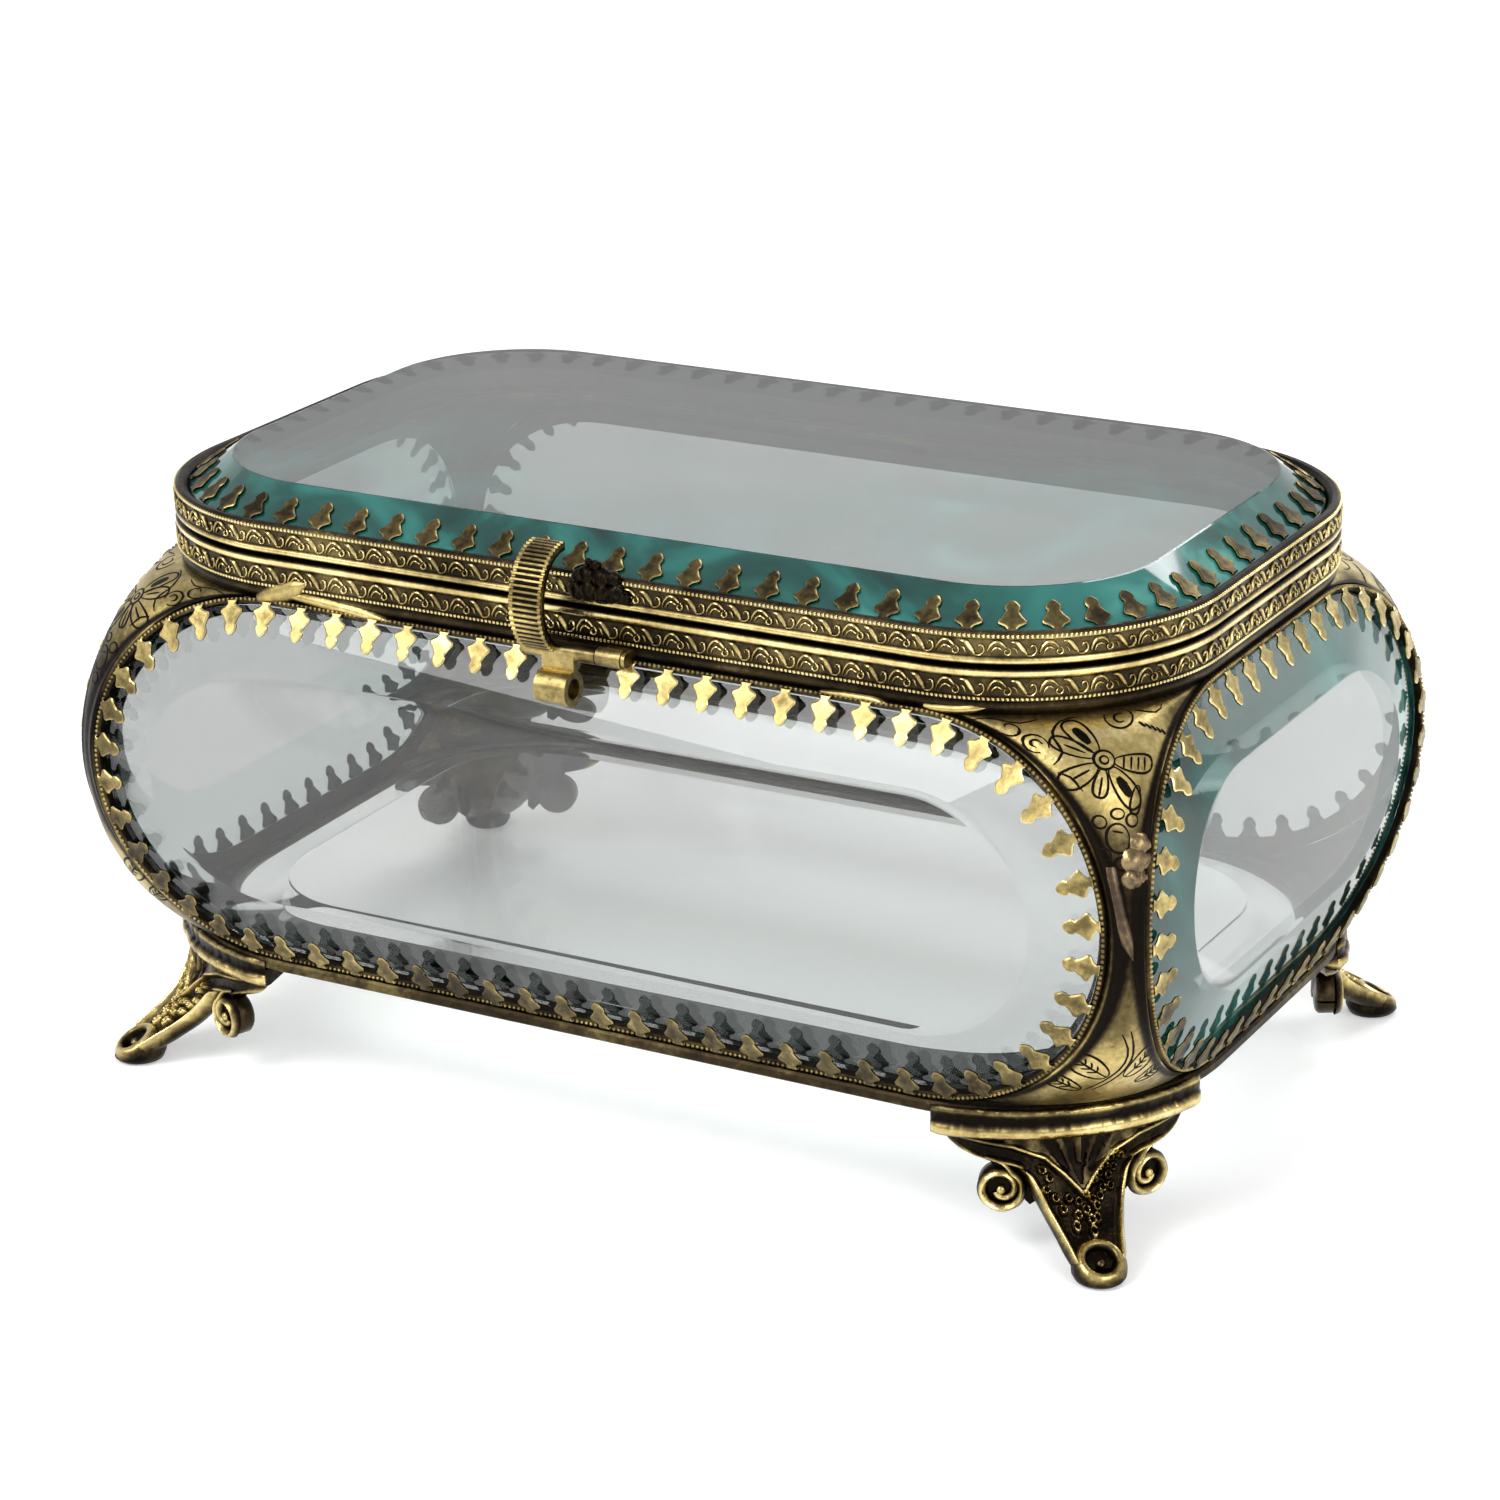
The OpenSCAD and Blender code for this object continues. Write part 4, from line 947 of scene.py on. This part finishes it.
# Cast feet: a stepped crown, a relief leg that kicks out, a scroll on each side and a cupped toe
footLook = {
    "crownRadius": 28.0, "reach": 36.9, "turn": -48.2, "halfAngle": 36.5,
    "rows": [  # height, distance from the corner's centre, depth, half width
        (15.8, 26.4, 3.0, 16.6), (14.3, 26.5, 3.0, 15.9), (13.1, 26.55, 3.0, 14.9), (12.2, 26.6, 3.0, 13.3),
        (11.5, 26.7, 3.0, 10.8), (10.9, 26.85, 3.2, 8.2), (10.1, 27.15, 3.4, 7.0), (8.6, 27.9, 3.6, 6.2),
        (6.9, 29.1, 3.8, 5.5), (5.3, 30.8, 4.2, 4.8), (3.9, 32.9, 4.4, 4.2), (2.8, 34.7, 4.2, 3.8),
        (2.0, 35.9, 3.4, 3.4)],
    "crown": [  # distance out from the crown's radius, height, relief
        (-3.4, 15.4, -0.8), (-0.8, 14.7, -0.8), (0.2, 14.7, -0.9), (0.8, 14.85, 0.2), (1.22, 15.3, 1.0),
        (1.34, 15.8, 1.0), (1.2, 16.25, 0.5), (0.85, 16.6, -0.7), (0.72, 16.85, -1.3), (0.76, 17.2, -1.0),
        (0.86, 17.7, -0.6), (0.92, 18.1, 0.5), (0.78, 18.45, 0.3), (0.35, 18.62, -0.7), (0.1, 17.25, -1.0),
        (-3.4, 17.25, -1.0)],
    "columns": 120, "levels": 150, "relief": 0.55,
    "toe": [  # radius, height, relief
        (2.3, 0.0, -0.6), (3.2, 0.25, -0.9), (3.6, 0.9, -0.8), (3.66, 1.6, -0.6), (3.55, 2.3, -0.3),
        (3.2, 2.95, 0.5), (2.75, 3.3, 1.1), (2.3, 3.35, 0.8), (1.98, 3.1, -0.3), (1.8, 2.5, -1.6),
        (1.4, 1.9, -1.9), (0.8, 1.7, -1.9)],
    "toeTilt": 30.0,
    "scroll": {"angle": 19.0, "height": 8.1, "outer": 2.45, "inner": 0.75, "thick": 0.8, "reach": 27.9,
               "block": [(-4.2, -1.6), (-3.4, -2.2), (0.6, 2.2), (1.6, 3.9), (-3.8, 4.2)],
               "blockDepths": (-2.6, -0.35)},  # the block joins the scroll to the leg
}


def nearness(x, z, path):  # distance to a broken line, and the share along it
    path = np.asarray(path, float)
    best = np.full(np.shape(x), 1e9)
    along = np.zeros(np.shape(x))
    for k in range(len(path) - 1):
        a, b = path[k], path[k + 1]
        d = b - a
        t = np.clip(((x - a[0]) * d[0] + (z - a[1]) * d[1]) / (d @ d), 0, 1)
        r = np.hypot(x - a[0] - t * d[0], z - a[1] - t * d[1])
        along = np.where(r < best, (k + t) / (len(path) - 1), along)
        best = np.minimum(best, r)
    return best, along


def footRelief(y, z, half):  # height of the casting over its ground, in shares of its full relief
    high = -0.75 + 0.2 * np.sin(y * 9.1 + 2.0 * np.sin(z * 5.3)) * np.sin(z * 8.3 + 1.7 * np.sin(y * 6.1))
    palm = [(0.2, 8.2), (1.9, 10.1), (4.3, 12.3), (8.0, 13.7), (16.5, 14.8)]
    lipLine = [(16.0, 13.4), (13.6, 12.55), (11.0, 11.75), (8.3, 11.5), (7.0, 11.1)]
    span = np.interp(z, [8.4, 10.1, 12.3, 13.7], [0.3, 1.9, 4.4, 9.0])
    plain = (np.abs(y) < span) & (z > 8.4)
    high = np.where(plain, -0.1 + 0.25 * np.sin(y * 2.1 + 0.6), high)
    lobes = [((-1.5, 10.6), (-3.7, 14.4), 0.62), ((-0.45, 10.9), (-1.25, 14.5), 0.5),
             ((0.5, 11.0), (1.0, 14.5), 0.5), ((1.4, 10.6), (3.4, 14.5), 0.62),
             ((0.0, 9.2), (-0.15, 10.7), 0.42)]
    for foot, tip, wide in lobes:
        lobe, share = nearness(y, z, [foot, tip])
        cup = np.clip(1.3 - lobe / (wide * (0.4 + 0.75 * share)), 0, 1)
        high = np.where(plain, high - 1.7 * np.minimum(cup * 1.7, 1), high)
    for side in (-1, 1):
        ridge, _ = nearness(y, z, [(side * x, h) for x, h in palm])
        fade = np.clip(1.25 - np.abs(y) / 22, 0, 1)
        high = np.maximum(high, -0.8 + 1.8 * np.exp(-(ridge / 0.42) ** 2) * fade)
        lip, _ = nearness(y, z, [(side * x, h) for x, h in lipLine])
        high = np.maximum(high, -0.8 + 1.7 * np.exp(-(lip / 0.5) ** 2))
        leaf, _ = nearness(y, z, [(side * 3.4, 9.9), (side * 6.4, 11.6), (side * 9.6, 12.9)])
        high = high - 0.35 * np.exp(-(leaf / 0.5) ** 2)
    rim = np.exp(-((half - np.abs(y) - 0.8) / 0.58) ** 2) * np.clip((11.3 - z) / 0.8, 0, 1)
    high = np.maximum(high, -0.8 + 2.0 * rim)
    punched = [  # small rings in the ground
        (4.5, 12.3), (3.9, 11.5), (5.3, 11.5), (3.1, 10.7), (2.3, 10.0), (4.1, 10.4), (1.5, 9.3), (3.3, 9.6),
        (0.2, 8.0), (0.9, 7.4), (-0.8, 7.3), (1.3, 6.7), (-0.1, 6.5), (-1.2, 6.1), (0.3, 5.6), (1.0, 5.7),
        (-1.7, 5.2), (-4.4, 8.7), (-3.5, 7.8), (-2.8, 6.7), (-1.9, 7.7), (2.4, 8.4), (3.4, 8.5), (0.2, 4.7),
        (-4.6, 10.8), (-3.9, 9.9), (1.9, 7.6)]
    for cy, cz in punched:
        ring = np.abs(np.hypot(y - cy, z - cz) - 0.36)
        high = np.maximum(high, np.where(plain, -9, -0.7 + 1.9 * np.exp(-(ring / 0.15) ** 2)))
    return high


def footPoint(r, y, z):
    swing = y / r
    return np.stack([r * np.cos(swing), r * np.sin(swing), np.broadcast_to(z, np.shape(r))], axis=-1)


def buildFoot(key):
    look = footLook
    sideX, sideY = corners[key]
    bm = newDrawing()
    levels = smoothRun([(z, r, depth, half) for z, r, depth, half in look["rows"]], look["levels"])
    share = np.linspace(-1, 1, look["columns"] + 1)
    slope = np.gradient(levels[:, 1]) / np.minimum(np.gradient(levels[:, 0]), -1e-3)
    rings, marks = [], []
    for (z, r, depth, half), lean in zip(levels, slope):
        y = half * share
        high = footRelief(y, np.full_like(y, z), half)
        bulge = depth / 2 * np.sqrt(np.clip(1 - np.abs(share) ** 8, 0, 1))
        normal = np.array([1.0, -lean]) / math.hypot(1, lean)
        lift = look["relief"] * high * np.clip((1 - np.abs(share)) * 12, 0, 1)
        front = footPoint(r + bulge + normal[0] * lift, y, z + normal[1] * lift)
        backShare = np.linspace(1, -1, 13)[1:-1]
        behind = r - depth / 2 * np.sqrt(1 - np.abs(backShare) ** 4)
        rear = footPoint(behind, half * backShare, np.full(11, z))
        rings.append(np.concatenate([front, rear]))
        marks.append(np.concatenate([high, np.full(11, -0.6)]))
    loftRings(bm, rings, relief=marks, capStart=True, capEnd=True)

    arc = np.radians(np.linspace(-look["halfAngle"], look["halfAngle"], 97))
    crown = []
    for k, a in enumerate(arc):
        end = max(0, 1 - min(k, 96 - k) / 5.0)
        near = 1 - 0.75 * end ** 2
        wave = 0.09 * math.sin(k * 0.83 + 2.1 * math.sin(k * 0.31)) + 0.05 * math.sin(k * 2.3)
        ring = []
        for out, z, _ in look["crown"]:
            r = look["crownRadius"] + (out * near + wave * (1 - end) if out > 0 else out)
            height = z + wave * 0.5 * (14.8 < z < 18.3) - 0.35 * end ** 2 * (z > 16.3)
            ring.append((r * math.cos(a), r * math.sin(a), height))
        crown.append(ring)
    loftRings(bm, [np.array(c) for c in crown], relief=[np.array([m for _, _, m in look["crown"]])] * 97,
              capStart=True, capEnd=True)

    count = 40
    turn = np.linspace(0, 2 * math.pi, count, endpoint=False)
    toe = []
    for r, z, _ in look["toe"]:
        lean = math.radians(look["toeTilt"]) * min(1, max(0, (z - 0.6) / 1.6))
        x, h = 0.97 * r * np.cos(turn), z - 1.7
        out = look["reach"] - 0.25 + x * math.cos(lean) + h * math.sin(lean)
        up = np.maximum(1.7 + h * math.cos(lean) - x * math.sin(lean), 0.02 + 0 * turn)
        toe.append(np.stack([out, 0.92 * r * np.sin(turn), up], axis=-1))
    loftRings(bm, toe, relief=[mark for _, _, mark in look["toe"]], capStart=True, capEnd=True)
    addBeads(bm, [(look["reach"] + 0.35, 0.0, 2.2)], 0.62, 14, 9, 0.4)

    scroll = look["scroll"]
    for side in (-1, 1):
        centre = math.radians(scroll["angle"] * side)
        way = np.array([-math.sin(centre), math.cos(centre)])
        out = np.array([math.cos(centre), math.sin(centre)])

        def onScroll(x, y, n):  # x to the side, y up, n outwards
            x, y, n = np.broadcast_arrays(x, y, n)
            flatPart = out * (scroll["reach"] + n)[..., None] + way * (side * x)[..., None]
            return np.concatenate([flatPart, (scroll["height"] + y)[..., None]], axis=-1)

        disc = []
        for r, n in ((0.3, -2.6), (2.5, -2.6), (2.85, -2.2), (2.85, -0.4), (2.5, -0.05), (0.3, 0.0)):
            disc.append(onScroll(r * np.cos(turn), r * np.sin(turn) * 0.97, np.full(count, n)))
        loftRings(bm, disc, relief=[-0.5, -0.5, -0.3, -0.4, -1.4, -1.4], capStart=True, capEnd=True)
        blockX, blockY = np.array(scroll["block"]).T
        block = [onScroll(blockX, blockY, np.full(len(blockX), n)) for n in scroll["blockDepths"]]
        loftRings(bm, block, relief=[-1.0, -1.3], capStart=True, capEnd=True)
        turnBy = np.radians(np.linspace(122, 690, 44))
        radii = [2.5, scroll["outer"], 2.1, 1.35, scroll["inner"]]
        swing = np.interp(np.linspace(0, 1, 44), [0, 0.25, 0.6, 0.8, 1], radii)
        spiral = np.stack([swing * np.cos(turnBy), swing * np.sin(turnBy)], axis=-1)
        stem = np.array([(1.9, 4.1), (-0.2, 3.4)])
        addStroke(bm, np.concatenate([stem, spiral]), scroll["thick"] * 1.6, 0.85, onScroll, 84, (0.5, 0.9),
                  (-1.2, 1.1), 0.1)
        eye = bmesh.ops.create_uvsphere(bm, u_segments=12, v_segments=8, radius=0.6)["verts"]
        for vert in eye:
            vert.co = Vector(onScroll(vert.co.x, vert.co.y, vert.co.z * 0.9 + 0.3))
            vert[bm.verts.layers.float["relief"]] = 0.9

    placed = Matrix.Translation((cornerX, -cornerY, 0)) @ Matrix.Rotation(math.radians(look["turn"]), 4, "Z")
    bmesh.ops.transform(bm, matrix=placed, verts=bm.verts)
    bmesh.ops.scale(bm, vec=(sideX, sideY, 1), verts=bm.verts)
    finishPiece(bm, key.replace("_", "") + "Foot", "casket", metals["feet"], [key + "_foot"],
                sharp=55)


for key in corners:
    buildFoot(key)
print("feet ready")

# Solder: a dark lump that covers the lid's catch, and flashes at the corners
solderLook = {
    "catch": [  # x, height, radius
        (0.6, 75.3, 1.25), (2.3, 75.5, 1.45), (2.0, 77.3, 1.3), (4.2, 75.4, 1.4), (4.0, 77.2, 1.35),
        (5.9, 75.7, 1.25), (5.6, 77.3, 1.0), (7.0, 75.1, 0.85), (0.7, 76.9, 0.9),
        (3.2, 78.6, 0.75), (2.2, 79.0, 0.5)],
    "onPillar": [  # aside from the middle line, down from the top, radius
        (2.6, 18.4, 1.7), (1.7, 20.2, 2.0), (3.0, 20.2, 1.6), (0.9, 22.0, 1.5), (2.2, 22.0, 1.2)],
    "run": [(1.7, 20.5), (1.0, 26.0), (-0.3, 31.5)],  # aside and down, as above
    "grain": 0.13,
}


def addLump(bm, centre, radius, squash, relief):
    made = bmesh.ops.create_icosphere(bm, subdivisions=3, radius=radius)["verts"]
    for vert in made:
        d = vert.co.normalized()
        waves = [math.sin(d.x * 5.3 + centre[0] * 3.1), math.sin(d.y * 4.7 + 1.3),
                 math.sin(d.z * 6.1 + centre[2])]
        rough = 1 + solderLook["grain"] * waves[0] * waves[1] * waves[2]
        vert[bm.verts.layers.float["relief"]] = relief + 2.5 * (rough - 1)
        vert.co = Vector(centre) + Vector((vert.co.x, vert.co.y * squash, vert.co.z)) * rough


bm = newDrawing()
for x, z, r in solderLook["catch"]:
    addLump(bm, (x, -halfWidth - 0.25, z), r, 0.85, -0.2)
finishPiece(bm, "lidCatch", "lid", metals["darkSolder"], ["lid_catch"], recalc=False)

flashes = [  # along the rim, path of (s, height), width, thickness
    ([(-47.0, 67.1), (-44.0, 68.2), (-41.0, 69.4), (-39.2, 70.3)], 3.6, 0.7),
    ([(-44.5, 68.6), (-40.0, 68.2), (-35.0, 67.8), (-27.0, 67.1)], 2.0, 0.55),
    ([(46.5, 67.7), (50.0, 67.6), (54.0, 68.1)], 1.5, 0.45),
    ([(33.0, 67.3), (38.5, 67.4), (42.0, 67.2)], 1.0, 0.4),
]
bm = newDrawing()
for path, wide, thick in flashes:
    addStroke(bm, path, wide, thick, lambda x, y, n: rimPoints(x, -0.35 + n, y), 20, (0.5, 0.05),
              (-0.8, 0.6), 0.6)
finishPiece(bm, "cornerFlashes", "casket", metals["pillars"], recalc=False)
bm = newDrawing()
for x, down, r in solderLook["onPillar"]:
    spot = onPillar([-x], [sheetRise[-1] - down], -0.62 * r)
    addLump(bm, tuple(np.ravel(spot)), r, 1.0, 0.1)
run = np.array([(x, sheetRise[-1] - down) for x, down in solderLook["run"]])
addStroke(bm, run, 1.5, 0.35, onPillar, 14, (0.9, 0.05), (-1.3, -0.5))
finishPiece(bm, "pillarSolder", "casket", metals["solder"], recalc=False)
print("solder ready")

# CAD nodes that keep their shape take a worn gilt finish; the bottom frame takes the lid claws' darker copy,
# which is painted shade
kept = {"bottom_frame": "lidClaws", "clasp_lever": "lever"}
turnedParts = ("body_hinge_leaf", "lid_hinge_leaf", "hinge_pin", "clasp_bracket", "clasp_pin")
kept.update(dict.fromkeys(turnedParts, "clasp"))
for node, finish in kept.items():
    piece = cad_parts[node]
    piece.data.materials.clear()
    piece.data.materials.append(metals[finish])

# Floor, light and camera
def stageMaterial(name, colour, glow):
    board = Board(name)
    ray = board.add("ShaderNodeLightPath")
    rays = ("Is Camera Ray", "Is Glossy Ray", "Is Transmission Ray")
    seen = [Wire(board, ray.socket.node.outputs[key]) for key in rays]
    bright = (seen[0] + seen[1] + seen[2]).clamped() * glow
    shader = board.add("ShaderNodeBsdfPrincipled", None, {
        "Base Color": (*colour, 1), "Roughness": 0.9, "Specular IOR Level": 0.1,
        "Emission Color": (1, 1, 1, 1), "Emission Strength": bright})
    return board.finish(shader)


studio = {"floor": 3.2, "wallHeight": 1.6, "floorColour": (0.86, 0.86, 0.86), "glow": 0.3, "world": 0.55}
bm = bmesh.new()
profile = [(0.0, 0.0), (studio["floor"] * 0.8, 0.0), (studio["floor"] * 0.93, 0.1), (studio["floor"], 0.5),
           (studio["floor"], studio["wallHeight"])]
chain = [bm.verts.new((x, 0, z)) for x, z in profile]
edges = [bm.edges.new(pair) for pair in zip(chain, chain[1:])]
bmesh.ops.spin(bm, geom=chain + edges, cent=(0, 0, 0), axis=(0, 0, 1), angle=2 * math.pi, steps=64,
               use_merge=True)
bmesh.ops.remove_doubles(bm, verts=bm.verts, dist=1e-5)
bmesh.ops.recalc_face_normals(bm, faces=bm.faces)
for face in bm.faces:
    face.smooth = True
floorMesh = bpy.data.meshes.new("floor")
bm.to_mesh(floorMesh)
bm.free()
floor = bpy.data.objects.new("floor", floorMesh)
bpy.context.scene.collection.objects.link(floor)
floorMesh.materials.append(stageMaterial("white floor", studio["floorColour"], studio["glow"]))

world = bpy.data.worlds.new("studio")
bpy.context.scene.world = world
world.use_nodes = True
world.node_tree.nodes["Background"].inputs["Color"].default_value = (1, 1, 1, 1)
world.node_tree.nodes["Background"].inputs["Strength"].default_value = studio["world"]

lamps = {
    "key": {"place": (-0.35, -0.75, 0.95), "size": 0.5, "power": 6.5},
    "strip": {"place": (-0.6, -0.93, 0.553), "size": 1.1, "high": 0.15, "power": 2.7},
    "fill": {"place": (0.9, -0.45, 0.6), "size": 0.7, "power": 5.0},
    "back": {"place": (0.1, 0.9, 0.9), "size": 0.6, "power": 6.0},
}
for name, lamp in lamps.items():
    data = bpy.data.lights.new(name, "AREA")
    data.size = lamp["size"]
    if "high" in lamp:
        data.shape = "RECTANGLE"
        data.size_y = lamp["high"]
    data.energy = lamp["power"]
    light = bpy.data.objects.new(name, data)
    light.location = lamp["place"]
    light.rotation_mode = "QUATERNION"
    light.rotation_quaternion = (Vector(lamp["place"]) - Vector((0, 0, 0.04))).to_track_quat("Z", "Y")
    bpy.context.scene.collection.objects.link(light)

view = {"azimuth": 29.417, "elevation": 20.269, "roll": -1.074, "distance": 0.5508, "target": (0, 0, 0.04),
        "focal": 4216.0, "frame": 1500.0, "centreX": 754.8, "centreY": 753.5}
azimuth, elevation, roll = (math.radians(view[k]) for k in ("azimuth", "elevation", "roll"))
back = Vector((math.sin(azimuth) * math.cos(elevation), -math.cos(azimuth) * math.cos(elevation),
               math.sin(elevation)))
right = Vector((math.cos(azimuth), math.sin(azimuth), 0))
up = back.cross(right)
across = math.cos(roll) * right + math.sin(roll) * up
upright = math.cos(roll) * up - math.sin(roll) * right
lens = bpy.data.cameras.new("camera")
lens.sensor_width = 36
lens.lens = view["focal"] / view["frame"] * 36
lens.shift_x = -(view["centreX"] - view["frame"] / 2) / view["frame"]
lens.shift_y = (view["centreY"] - view["frame"] / 2) / view["frame"]
lens.clip_start = 0.01
camera = bpy.data.objects.new("camera", lens)
camera.matrix_world = Matrix.Translation(Vector(view["target"]) + back * view["distance"]) @ Matrix(
    (across, upright, back)).transposed().to_4x4()
bpy.context.scene.collection.objects.link(camera)
bpy.context.scene.camera = camera
bpy.context.scene.view_settings.view_transform = "Standard"

print("scene ready")
